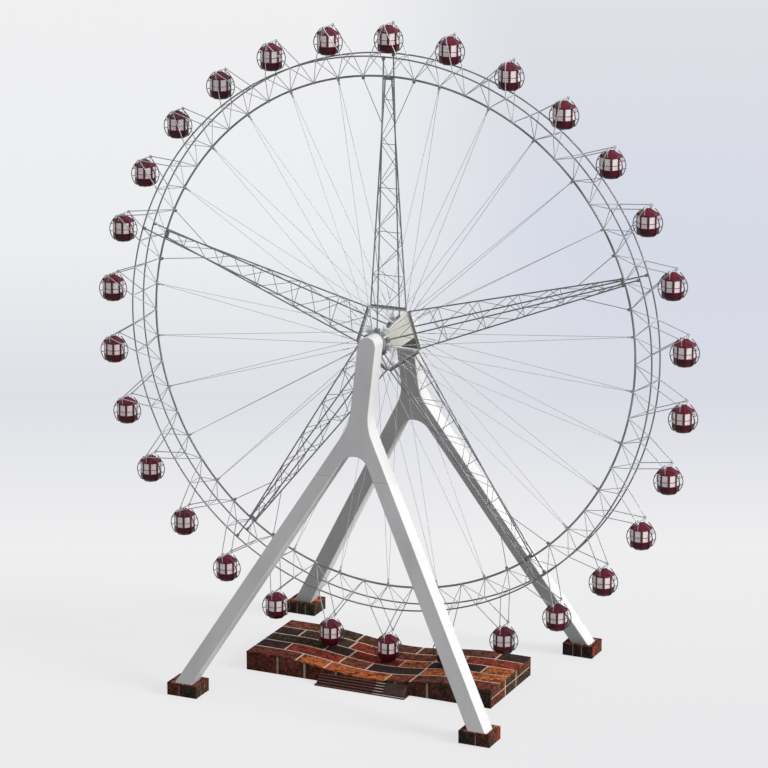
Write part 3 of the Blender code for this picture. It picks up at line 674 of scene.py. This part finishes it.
def make_hub():
    """An open frame of five corners, with bars to a collar at each end, a spindle, one front panel and a
    dark plate of painted shade in its cut corner.
    """
    shape = Shape()
    knuckle = [(0.040, 0.0), (0.052, 0.010), (0.052, 0.114), (0.040, 0.124)]
    collar = [(0.28, -0.06), (COLLAR_RADIUS - 0.05, -0.04), (COLLAR_RADIUS - 0.018, 0.0)]
    collar += [(COLLAR_RADIUS - 0.018, 0.15), (COLLAR_RADIUS - 0.03, 0.16), (0.30, 0.16), (0.29, 0.175)]
    collar += [(0.24, 0.18), (0.22, 0.19), (0.22, 0.248), (0.19, 0.25)]
    turns = [(i + 0.5) * SECTOR_STEP for i in range(SECTORS)]
    for turn in turns:
        corner = around(HUB_RING, turn)
        shape.rod(corner, around(HUB_RING, turn + SECTOR_STEP), RIM_BAR, 14, 1)
        shape.lathe(corner - ALONG_Y * 0.062, ALONG_Y, knuckle, 16, 1)
        seat_low = (-SEAT_HALF, -0.03, SPOKE_FOOT - 0.022)
        seat_high = (SEAT_HALF, 0.03, SPOKE_FOOT - HAIRLINE)
        shape.block(seat_low, seat_high, turned(turn + SECTOR_STEP / 2.0), 0.004, 1)
        for side in SIDES:
            shape.rod(corner, around(EDGE_RADIUS, turn, side * EDGE_END), EDGE_BAR, 14, 1)
    rim_high, rim_low = [around(HUB_RING, turn) for turn in turns[:2]]
    end_high, end_low = [around(EDGE_RADIUS, turn, -EDGE_END) for turn in turns[:2]]
    rim_cut = rim_low.lerp(rim_high, PANEL_CUT_RIM)
    edge_cut = end_low.lerp(rim_low, PANEL_CUT_EDGE)
    flat_plate(shape, [end_high, rim_high, rim_cut, edge_cut, end_low], PANEL, 0)
    # A dark plate set back in the panel's cut corner is painted shade for the shadowed inside seen through
    # the opening
    set_back = (rim_high - end_high).cross(rim_low - end_high).normalized() * -SHADE_PLATE_BACK
    flat_plate(shape, [point + set_back for point in (rim_cut, rim_low, edge_cut)], PANEL / 2.0, 3)
    for side in SIDES:
        shape.lathe(HUB + ALONG_Y * side * COLLAR_Y[0], ALONG_Y * side, collar, 40, 1)
        heads = bolt_ring(COLLAR_BOLTS, COLLAR_BOLT_RING, side * COLLAR_Y[1])
        add_bolts(shape, heads, ALONG_Y * side, 0.02, 0.022, 2)
    shape.rod(HUB - ALONG_Y * SPINDLE_HALF, HUB + ALONG_Y * SPINDLE_HALF, SPINDLE_RADIUS, 36, 1)
    piece("hub_frame", shape, [HUB_STEEL, WHITE_STEEL, FITTING, SHADE_PLATE], "wheel", ("hub",))


def octagon(half, drop, cut):
    """Eight flats this far out, with each corner cut back a little."""
    reach = half / math.cos(HALF_FLAT)
    down = Vector((0.0, 0.0, -drop))
    turns = [HALF_FLAT + FLAT_STEP * i for i in range(FLATS)]
    corners = [Vector((math.cos(turn), math.sin(turn), 0.0)) * reach for turn in turns]
    points = []
    for i, here in enumerate(corners):
        for other in (corners[i - 1], corners[(i + 1) % FLATS]):
            points.append(here + (other - here).normalized() * cut + down)
    return points


def add_cabin_side(shape, matrix):
    """One of eight sides: a roof rib and a post at the corner, rails, window seals and a tub panel."""
    corner = matrix @ Matrix.Rotation(HALF_FLAT, 4, "Z")
    reach = CABIN_HALF / math.cos(HALF_FLAT)
    eave = corner @ Vector((reach * 0.985, 0.0, -0.284))
    shape.rod(corner @ Vector((0.06, 0.0, -0.026)), eave, 0.008, 6)
    post = []
    for drop in POST_DROPS:
        outer, inner = [corner @ Vector((reach - back, 0.0, -drop)) for back in (0.004, 0.052)]
        wings = []
        for side in SIDES:
            along = corner @ Vector((-math.sin(HALF_FLAT), side * math.cos(HALF_FLAT), 0.0))
            wings.append([outer + along * 0.010, outer + along * 0.050, inner + along * 0.040])
        post.append(wings[0] + wings[1][::-1])
    shape.loft(post)
    for drop, thick in ((0.335, 0.014), (0.640, 0.012), (0.835, 0.012)):
        shape.block((0.408, -0.150, -drop - thick), (0.433, 0.150, -drop + thick), matrix, 0.004)
    for y in (-0.128, 0.128):
        shape.block((0.412, y - 0.006, -0.842), (0.430, y + 0.006, -0.322), matrix, 0.002, 3)
    shape.block((0.429, -0.135, -1.01), (0.4375, 0.135, -0.905), matrix, 0.004, 1)


def add_cabin_hanger(shape):
    """The axle, the cap where the roof meets it, and the collars and arms at both ends."""
    shape.rod((0.0, -0.438, 0.0), (0.0, 0.438, 0.0), 0.022, 16, 4)
    cap = [(0.014, 0.0), (0.034, 0.006), (0.046, 0.024), (0.062, 0.044)]
    shape.lathe(Vector((0.0, 0.0, 0.012)), -ALONG_Z, cap, 20, 4)
    for side in SIDES:
        out = ALONG_Y * side
        shape.lathe(out * 0.05, out, [(0.034, 0.0), (0.034, 0.03), (0.026, 0.04)], 16, 4)
        shape.lathe(out * 0.395, out, [(0.026, 0.0), (0.034, 0.01), (0.034, 0.04)], 16, 4)
        arm = [(0.36, 0.0), (0.405, -0.05), (0.425, -0.16), (0.425, -0.29)]
        shape.swept([Vector((0.0, side * y, z)) for y, z in arm], 0.012, ALONG_X, 8, 4)


def add_cabin_door(shape):
    """The door's lines on the tub, and its handle, on the front side."""
    matrix = Matrix.Rotation(-math.pi / 2.0, 4, "Z")
    for y in (-0.152, 0.152):
        shape.block((0.4365, y - 0.004, -1.02), (0.4395, y + 0.004, -0.86), matrix, 0.001, 3)
    grips = [matrix @ Vector((0.455, 0.10, -drop)) for drop in HANDLE_DROPS]
    roots = [matrix @ Vector((0.425, 0.10, -drop)) for drop in HANDLE_DROPS]
    shape.rod(*grips, 0.007, 8, 4)
    for root, grip in zip(roots, grips):
        shape.rod(root, grip, 0.006, 8, 4)


def cabin_body_shape():
    """Tub, posts, rails, roof and hanger of one cabin, with its axle at the origin."""
    shape = Shape()
    tub = [(0.060, 1.2056), (0.295, 1.2056), (0.318, 1.196), (0.400, 1.105), (0.424, 1.066), (0.433, 1.03)]
    tub += [(0.433, 0.985), (0.429, 0.980), (0.429, 0.972), (0.433, 0.967), (0.433, 0.885), (0.440, 0.878)]
    tub += [(0.440, 0.850), (0.434, 0.844), (0.402, 0.844), (0.396, 0.852), (0.396, 0.90)]
    tub += [(0.33, 1.14), (0.060, 1.15)]
    roof = [(0.030, 0.020), (0.060, 0.030), (0.418, 0.276), (0.436, 0.284), (0.440, 0.292), (0.440, 0.318)]
    roof += [(0.434, 0.324), (0.402, 0.324), (0.396, 0.316), (0.392, 0.300), (0.060, 0.130)]
    floor = [(0.328, 1.1495), (0.328, 1.143), (0.30, 1.141), (0.06, 1.141)]
    for slot, profile in enumerate((roof, tub)):
        shape.loft([octagon(half, drop, half * CORNER_CUT) for half, drop in profile], slot)
    shape.loft([octagon(half, drop, 0.01) for half, drop in floor], 2)
    for i in range(FLATS):
        add_cabin_side(shape, Matrix.Rotation(FLAT_STEP * i, 4, "Z"))
    add_cabin_hanger(shape)
    add_cabin_door(shape)
    return shape


def cabin_glass_shape():
    """Two panes in each of the eight window openings."""
    shape = Shape()
    for i in range(FLATS):
        matrix = Matrix.Rotation(FLAT_STEP * i, 4, "Z")
        for low, high in PANE_DROPS:
            shape.block((0.418, -0.122, -high), (0.424, 0.122, -low), matrix, 0.001)
    return shape


def cabin_hoops_shape():
    """Thin bowed guard rails down both sides of a cabin, and the rods that tie them to it."""
    shape = Shape()
    for side in SIDES:
        for y in (-HOOP_Y, HOOP_Y):
            path = []
            for i in range(HOOP_STEPS + 1):
                t = i / HOOP_STEPS
                x = HOOP_ROOT + HOOP_BOW * math.sin(math.pi * (0.08 + 0.74 * t)) ** 0.9
                path.append(Vector((side * x, y, -HOOP_TOP - HOOP_LENGTH * t)))
            path[-1].x = side * HOOP_FOOT
            shape.swept(path, HOOP_TUBE, ALONG_Y)
        for drop, x in ((0.47, 0.56), (0.80, 0.553)):
            shape.rod((side * x, -HOOP_Y, -drop), (side * x, HOOP_Y, -drop), TIE_ROD)
            for y in (-0.15, 0.15):
                shape.rod((side * 0.425, y, -drop), (side * x, y, -drop), TIE_ROD)
    return shape


def make_cabins():
    body = cabin_body_shape().mesh("cabin_body", (0, 1))
    glass = cabin_glass_shape().mesh("cabin_panes")
    hoops = cabin_hoops_shape().mesh("cabin_hoops")
    body_materials = [CABIN_RED, CABIN_TUB, CABIN_FLOOR, SEAL, FITTING]
    for i in range(CABINS):
        label = f"{i + 1:02d}"
        node = f"cabin_{label}"
        pivot = around(PIVOT_RADIUS, CABIN_STEP * i)
        piece(f"cabin_body_{label}", body, body_materials, node, (node,), pivot)
        piece(f"cabin_panes_{label}", glass, [GLASS], node, (), pivot)
        piece(f"cabin_rails_{label}", hoops, [DARK_STEEL], node, (), pivot)


def curve_points(start, bend, end, count):
    """Points of a curve from start to end, drawn towards the bend."""
    points = []
    for i in range(count + 1):
        t = i / count
        ends = [(1 - t) ** 2 * a + 2 * t * (1 - t) * b + t ** 2 * c for a, b, c in zip(start, bend, end)]
        points.append(tuple(ends))
    return points


def outer_edge(drop):
    return OUTER_SLOPE * (drop - OUTER_ZERO)


def inner_edge(drop):
    return INNER_SLOPE * (drop - INNER_ZERO)


def mast_outline():
    """The whole outline as (x, drop), with its head, flare and crotch as smooth curves."""
    half = []
    for i in range(17):
        turn = math.pi / 2.0 * i / 16
        half.append((COLUMN_HALF * math.sin(turn), -HEAD_RISE - COLUMN_HALF * math.cos(turn)))
    bend = OUTER_ZERO + COLUMN_HALF / OUTER_SLOPE
    along = FLARE_LENGTH / math.hypot(1.0, OUTER_SLOPE)
    flare_end = (COLUMN_HALF + OUTER_SLOPE * along, bend + along)
    half += curve_points((COLUMN_HALF, FLARE_START), (COLUMN_HALF, bend), flare_end, 12)
    half.append((outer_edge(SPLICE_DROP), SPLICE_DROP))
    half.append((inner_edge(SPLICE_DROP), SPLICE_DROP))
    half_angle = math.atan(INNER_SLOPE)
    centre = INNER_ZERO + CROTCH_RADIUS / math.sin(half_angle)
    for i in range(13):
        turn = half_angle + (math.pi / 2.0 - half_angle) * i / 12
        half.append((CROTCH_RADIUS * math.cos(turn), centre - CROTCH_RADIUS * math.sin(turn)))
    return half + [(-x, drop) for x, drop in half[-2:0:-1]]


def inset(outline, by):
    """The outline drawn in by this much at each point."""
    points = [Vector(point) for point in outline]
    area = sum(a.x * b.y - b.x * a.y for a, b in zip(points, points[1:] + points[:1]))
    sign = math.copysign(1.0, area)
    result = []
    for i, point in enumerate(points):
        before = (point - points[i - 1]).normalized()
        after = (points[(i + 1) % len(points)] - point).normalized()
        inward = Vector((-before.y - after.y, before.x + after.x)).normalized() * sign
        spread = max(0.5, inward.dot(Vector((-before.y, before.x)) * sign))
        result.append(point + inward * by / spread)
    return [(p.x, p.y) for p in result]


def leaning_plate(shape, outline, side):
    """An upright outline with the mast's depth and softened edges, leaning in on this side."""
    rows = []
    inner, outer = PLATE_EDGE, MAST_DEPTH - PLATE_EDGE
    for depth, by in ((0.0, PLATE_EDGE), (inner, 0.0), (outer, 0.0), (MAST_DEPTH, PLATE_EDGE)):
        row = []
        for x, drop in inset(outline, by + HAIRLINE):
            row.append(Vector((x, side * (MAST_INNER + MAST_LEAN * drop + depth), HUB.z - drop)))
        rows.append(row)
    shape.loft(rows)


def make_masts():
    """Each mast's upper part with its boss for the spindle, and its two legs."""
    outline = mast_outline()
    boss = [(0.20, 0.0), (0.27, 0.0), (0.285, 0.012), (0.285, 0.05)]
    boss += [(0.32, 0.06), (0.335, 0.075), (0.335, 0.30)]
    top = SPLICE_DROP + HAIRLINE
    leg = [(inner_edge(top), top), (outer_edge(top), top)]
    leg += [(outer_edge(LEG_FOOT_DROP), LEG_FOOT_DROP), (inner_edge(LEG_FOOT_DROP), LEG_FOOT_DROP)]
    for label, side in FRONT_AND_REAR:
        shape = Shape()
        leaning_plate(shape, outline, side)
        shape.lathe(HUB + ALONG_Y * side * BOSS_Y, ALONG_Y * side, boss, 36)
        heads = bolt_ring(BOSS_BOLTS, BOSS_BOLT_RING, side * BOSS_BOLT_Y)
        add_bolts(shape, heads, ALONG_Y * -side, 0.014, 0.014, 1)
        name = f"{label}_mast_plates"
        piece(name, shape, [WHITE_STEEL, FITTING], "stand", (f"{label}_mast",))
        for label_x, side_x in LEFT_AND_RIGHT:
            shape = Shape()
            leaning_plate(shape, [(side_x * x, drop) for x, drop in leg], side)
            node = f"{label}_{label_x}_leg"
            name = f"{node}_plates"
            piece(name, shape, [WHITE_STEEL], "stand", (node,))


def platform_top(x):
    reach = min(abs(x), DIP_HALF) / DIP_HALF
    return PLATFORM_LOW + PLATFORM_RISE * (1.0 - math.cos(math.pi * reach)) / 2.0


def narrowed(ends, by):
    """A stretch made shorter by this much at both ends."""
    return ends[0] + by, ends[1] - by


def add_brick(shape, place, u_ends, v_ends, tone, cells):
    """One block with rounded edges and an uneven face, where place(u, v, out) gives a point of it."""
    def stations(ends, count):
        low, high = ends
        inner = [low + BRICK_EDGE + (high - low - 2.0 * BRICK_EDGE) * i / count for i in range(count + 1)]
        return [low, low + BRICK_EDGE * 0.3, *inner, high - BRICK_EDGE * 0.3, high]

    def depth(i, count):
        return {0: BRICK_EDGE, 1: BRICK_EDGE * 0.3}.get(min(i, count - 1 - i), 0.0)

    us, vs = stations(u_ends, cells), stations(v_ends, 3)
    wide, deep = len(us), len(vs)
    points = []
    for j, v in enumerate(vs):
        for i, u in enumerate(us):
            drop = max(depth(i, wide), depth(j, deep))
            grain = noise.noise(Vector((u * 3.1 + tone * 40.0, v * 3.7, tone * 9.0)))
            rough = BRICK_ROUGH * (0.5 + 0.5 * grain)
            points.append(place(u, v, -drop - rough))
    faces = []
    for j in range(deep - 1):
        for i in range(wide - 1):
            a = j * wide + i
            faces.append((a, a + 1, a + wide + 1, a + wide))
    edge = list(range(wide))
    edge += [j * wide + wide - 1 for j in range(1, deep)]
    edge += [(deep - 1) * wide + i for i in range(wide - 2, -1, -1)]
    edge += [j * wide for j in range(deep - 2, 0, -1)]
    start, count = len(points), len(edge)
    points += [place(us[index % wide], vs[index // wide], -2.5 * MORTAR_DEPTH) for index in edge]
    for k in range(count):
        n = (k + 1) % count
        faces.append((edge[n], edge[k], start + k, start + n))
    faces.append(tuple(start + k for k in range(count)))
    shape.add(points, faces, 0, tone)


def course(rng, stretch, lengths, joint=JOINT, shift=0):
    """Ends of the blocks in one row, filling the stretch."""
    low, high = stretch
    spreads = [rng.uniform(*LENGTH_SPREAD) for _ in range(ROW_DRAWS)]
    chosen, total = [], 0.0
    for k, spread in enumerate(spreads):
        if total >= (high - low) * ROW_FULL:
            break
        chosen.append(lengths[(k + shift) % len(lengths)] * spread)
        total += chosen[-1]
    scale = (high - low) / total
    ends, at = [], low
    for k, length in enumerate(chosen):
        after = at + length * scale
        start = at + (joint / 2.0 if k else 0.0)
        stop = after - (joint / 2.0 if k < len(chosen) - 1 else 0.0)
        ends.append((start, stop))
        at = after
    return ends


def make_platform():
    """A mortar core with five courses on its dipping top, one on its long sides and two on its ends."""
    rng = random.Random(PLATFORM_SEED)
    shape = Shape()
    whole_x, whole_y = (-PLATFORM_X, PLATFORM_X), (-PLATFORM_Y, PLATFORM_Y)
    low, high = narrowed(whole_x, MORTAR_DEPTH)
    across = [low + (high - low) * i / CORE_STEPS for i in range(CORE_STEPS + 1)]
    outline = [(x, platform_top(x) - MORTAR_DEPTH) for x in across] + [(high, 0.0), (low, 0.0)]
    core = [[Vector((x, y, z)) for x, z in outline] for y in narrowed(whole_y, MORTAR_DEPTH)]
    shape.loft(core, 1, tone=0.5)

    def on_top(u, v, out):
        return Vector((u, v, platform_top(u) + out))

    row_height = 2.0 * PLATFORM_Y / PLATFORM_ROWS
    for row in range(PLATFORM_ROWS):
        low = -PLATFORM_Y + row * row_height + (JOINT / 2.0 if row else 0.0)
        high = -PLATFORM_Y + (row + 1) * row_height - (JOINT / 2.0 if row < PLATFORM_ROWS - 1 else 0.0)
        for ends in course(rng, whole_x, (2.6, 1.45, 2.9, 1.3), shift=row):
            add_brick(shape, on_top, ends, (low, high), rng.uniform(0.01, 0.99), 10)

    under = MORTAR_DEPTH * 1.6
    for side in SIDES:
        def on_face(u, v, out, side=side):
            return Vector((u, side * (PLATFORM_Y + out), v * (platform_top(u) - under)))

        def on_end(u, v, out, side=side):
            return Vector((side * (PLATFORM_X + out), u, v * (platform_top(PLATFORM_X) - under)))

        for ends in course(rng, whole_x, (1.7, 1.5, 1.65)):
            add_brick(shape, on_face, ends, (0.0, 1.0), rng.choice(DARK_TONES), 8)
        for ends in course(rng, narrowed(whole_y, under), (1.6, 1.3)):
            for v_ends in ((0.0, 0.47), (0.53, 1.0)):
                add_brick(shape, on_end, ends, v_ends, rng.choice(DARK_TONES), 4)
    piece("platform_blocks", shape, [BRICK, MORTAR], "stand", ("platform",))


def foot_shape(rng, flip):
    """One open socket clad with blocks, mirrored by flip, with a dark sheet of painted shade on the
    pocket's floor.
    """
    shape = Shape()
    core_x, core_y = narrowed(FOOT_X, MORTAR_DEPTH), narrowed(FOOT_Y, MORTAR_DEPTH)
    core_top = FOOT_HEIGHT - MORTAR_DEPTH
    loops = []
    for (x_low, x_high), (y_low, y_high), z in (
        (core_x, core_y, 0.0),
        (core_x, core_y, core_top),
        (POCKET_X, POCKET_Y, core_top),
        (POCKET_X, POCKET_Y, POCKET_FLOOR),
    ):
        corners = ((x_low, y_low), (x_high, y_low), (x_high, y_high), (x_low, y_high))
        loops.append([flip @ Vector((x, y, z)) for x, y in corners])
    shape.loft(loops, 1, tone=0.5)

    for side, face_x, face_y in zip(SIDES, FOOT_X, FOOT_Y):
        def on_side(u, v, out, side=side, face_y=face_y):
            return flip @ Vector((u, face_y + side * out, v))

        def on_end(u, v, out, side=side, face_x=face_x):
            return flip @ Vector((face_x + side * out, u, v))

        for ends in course(rng, FOOT_X, (0.80, 0.62), FOOT_SIDE_JOINT):
            add_brick(shape, on_side, ends, FOOT_COURSE, rng.choice(FOOT_SIDE_TONES), 5)
        for ends in course(rng, narrowed(FOOT_Y, 0.04), (0.62, 0.5), FOOT_SIDE_JOINT):
            add_brick(shape, on_end, ends, FOOT_COURSE, rng.choice(FOOT_END_TONES), 5)

    def on_top(u, v, out):
        return flip @ Vector((u, v, FOOT_HEIGHT + out))

    for v_ends in ((FOOT_Y[0], POCKET_Y[0] - POCKET_GAP), (POCKET_Y[1] + POCKET_GAP, FOOT_Y[1])):
        for ends in course(rng, FOOT_X, (0.72, 0.70), FOOT_TOP_JOINT):
            add_brick(shape, on_top, ends, v_ends, rng.choice(FOOT_TOP_TONES), 3)
    for u_ends in ((FOOT_X[0], POCKET_X[0] - POCKET_GAP), (POCKET_X[1] + POCKET_GAP, FOOT_X[1])):
        for v_ends in course(rng, narrowed(POCKET_Y, 0.015), (0.45, 0.42), FOOT_TOP_JOINT):
            add_brick(shape, on_top, u_ends, v_ends, rng.choice(FOOT_TOP_TONES), 3)
    # The dark sheet on the pocket's floor is painted shade for the recess
    shade_x, shade_y = narrowed(POCKET_X, POCKET_GAP), narrowed(POCKET_Y, POCKET_GAP)
    low, high = zip(shade_x, shade_y, POCKET_SHADE_Z)
    shape.block(low, high, flip.to_4x4(), 0.001, 2)
    return shape


def make_feet():
    rng = random.Random(FEET_SEED)
    for label_y, side_y in FRONT_AND_REAR:
        for label_x, side_x in LEFT_AND_RIGHT:
            shape = foot_shape(rng, Matrix.Diagonal((side_x, side_y, 1.0)))
            node = f"{label_y}_{label_x}_foot"
            name = f"{node}_blocks"
            piece(name, shape, [BRICK, MORTAR, POCKET_SHADE], "stand", (node,))


def make_steps():
    """Dark treads with brown nosings, pale at the right as a painted highlight, a wide bottom step and a
    sloping cheek; the risers' near-black is partly painted shade.
    """
    shape = Shape()
    back = -PLATFORM_Y - HAIRLINE
    highlight_start = FLIGHT_X[1] - HIGHLIGHT_LENGTH
    for i in range(STEP_COUNT):
        left, right = BOTTOM_STEP_X if i == 0 else FLIGHT_X
        front = back - STEP_DEPTH * (STEP_COUNT - i)
        top = STEP_RISE * (i + 1)
        low = max(0.0, STEP_RISE * i - 0.01)
        # The riser's near-black is partly painted shade under the nosing
        shape.block((left + 0.012, front + 0.014, low), (right - 0.012, back, top - 0.014), None, 0.004)
        shape.block((left, front, top - 0.030), (highlight_start, front + 0.034, top), None, 0.005, 1)
        # The pale block at each right end is a painted highlight
        shape.block((highlight_start + 0.004, front, top - 0.030), (right, front + 0.034, top), None, 0.005, 2)
        tread_low = (left + 0.004, front + 0.038, top - 0.018)
        shape.block(tread_low, (right - 0.004, front + 0.119, top - 0.004), None, 0.004)
    left, right = FLIGHT_X[1] + 0.004, BOTTOM_STEP_X[1] - STEP_DEPTH
    front = back - STEP_DEPTH * (STEP_COUNT - 1)
    edge = CHEEK_EDGE
    rows = []
    for x, by in ((left, edge), (left + edge, 0.0), (right - edge, 0.0), (right, edge)):
        cheek = [(front + by, CHEEK_FOOT), (back, CHEEK_FOOT)]
        cheek += [(back, CHEEK_BACK - by), (front + by, CHEEK_FRONT - by)]
        rows.append([Vector((x, y, z)) for y, z in cheek])
    shape.loft(rows)
    piece("step_treads", shape, [TREAD, NOSING, STEP_END_HIGHLIGHT], "stand", ("boarding_steps",))


def floor_material():
    """A pale floor with its own soft glow, bluer at the right and far off, that takes faint shadows."""
    material, tree, shader = new_material("pale_floor", 0.7)
    place = tree.nodes.new("ShaderNodeTexCoord").outputs["Object"]
    shares = []
    for direction, low, high in ((VIEW_AHEAD, *FLOOR_NEAR_FAR), (VIEW_RIGHT, *FLOOR_SIDES)):
        dot = add_node(tree, "ShaderNodeVectorMath", {0: place, 1: direction})
        dot.operation = "DOT_PRODUCT"
        inputs = {"Value": dot.outputs["Value"], "From Min": low, "From Max": high}
        share = add_node(tree, "ShaderNodeMapRange", inputs)
        share.interpolation_type = "SMOOTHSTEP" if direction is VIEW_RIGHT else "LINEAR"
        shares.append(share.outputs["Result"])
    left = [(0.05, (0.835, 0.835, 0.84)), (0.18, (0.86, 0.86, 0.86)), (0.30, (0.71, 0.72, 0.768))]
    left += [(0.47, (0.84, 0.85, 0.87)), (0.95, (0.876, 0.876, 0.876))]
    right = [(0.05, (0.80, 0.80, 0.81)), (0.18, (0.86, 0.86, 0.86)), (0.30, (0.66, 0.67, 0.755))]
    right += [(0.47, (0.63, 0.665, 0.768)), (0.95, (0.72, 0.73, 0.77))]
    colors = [ramp_node(tree, shares[0], stops) for stops in (left, right)]
    inputs = {
        "Base Color": (0.16, 0.16, 0.165),
        "Specular IOR Level": 0.0,
        "Emission Color": mix_node(tree, "MIX", shares[1], *colors),
        "Emission Strength": FLOOR_GLOW,
    }
    fill(tree, shader, inputs)
    return material


def make_floor():
    mesh = bpy.data.meshes.new("floor")
    signs = ((-1, -1), (1, -1), (1, 1), (-1, 1))
    corners = [Vector((x * FLOOR_HALF, y * FLOOR_HALF, 0.0)) for x, y in signs]
    mesh.from_pydata(corners, [], [(0, 1, 2, 3)])
    floor = linked("floor", mesh)
    mesh.materials.append(floor_material())
    floor.visible_diffuse = False


def make_sky():
    """Soft light from all round, brighter from above."""
    world = bpy.data.worlds.new("studio")
    bpy.context.scene.world = world
    world.use_nodes = True
    tree = world.node_tree
    place = tree.nodes.new("ShaderNodeTexCoord").outputs["Generated"]
    split = add_node(tree, "ShaderNodeSeparateXYZ", {"Vector": place})
    height = add_node(tree, "ShaderNodeMapRange", {"Value": split.outputs["Z"], "From Min": -1.0})
    stops = [(0.0, (0.10, 0.10, 0.11)), (0.47, (0.18, 0.18, 0.19))]
    stops += [(0.56, (0.44, 0.45, 0.47)), (1.0, (0.90, 0.91, 0.95))]
    color = ramp_node(tree, height.outputs["Result"], stops)
    fill(tree, tree.nodes["Background"], {"Color": color, "Strength": SKY_STRENGTH})


def make_sun():
    """A broad key light from the right and above."""
    data = bpy.data.lights.new("key_light", "SUN")
    data.energy = SUN_ENERGY
    data.angle = SUN_SPREAD
    data.color = (1.0, 0.99, 0.97)
    sun = linked("key_light", data)
    sun.rotation_euler = SUN_TOWARD.to_track_quat("Z", "Y").to_euler()


def make_camera():
    """The photograph's camera, with colours shown as they are."""
    data = bpy.data.cameras.new("camera")
    data.sensor_width = 36.0
    data.lens = VIEW_LENS
    data.clip_start = 1.0
    data.clip_end = 3000.0
    camera = linked("camera", data)
    camera.location = VIEW_PLACE
    camera.rotation_euler = (VIEW_TILT, 0.0, VIEW_TURN)
    bpy.context.scene.camera = camera
    bpy.context.scene.view_settings.view_transform = "Standard"


make_rings()
make_rim_lattice()
make_brackets()
make_spokes_and_stays()
make_hub()
make_cabins()
make_masts()
make_platform()
make_feet()
make_steps()
make_floor()
make_sky()
make_sun()
make_camera()
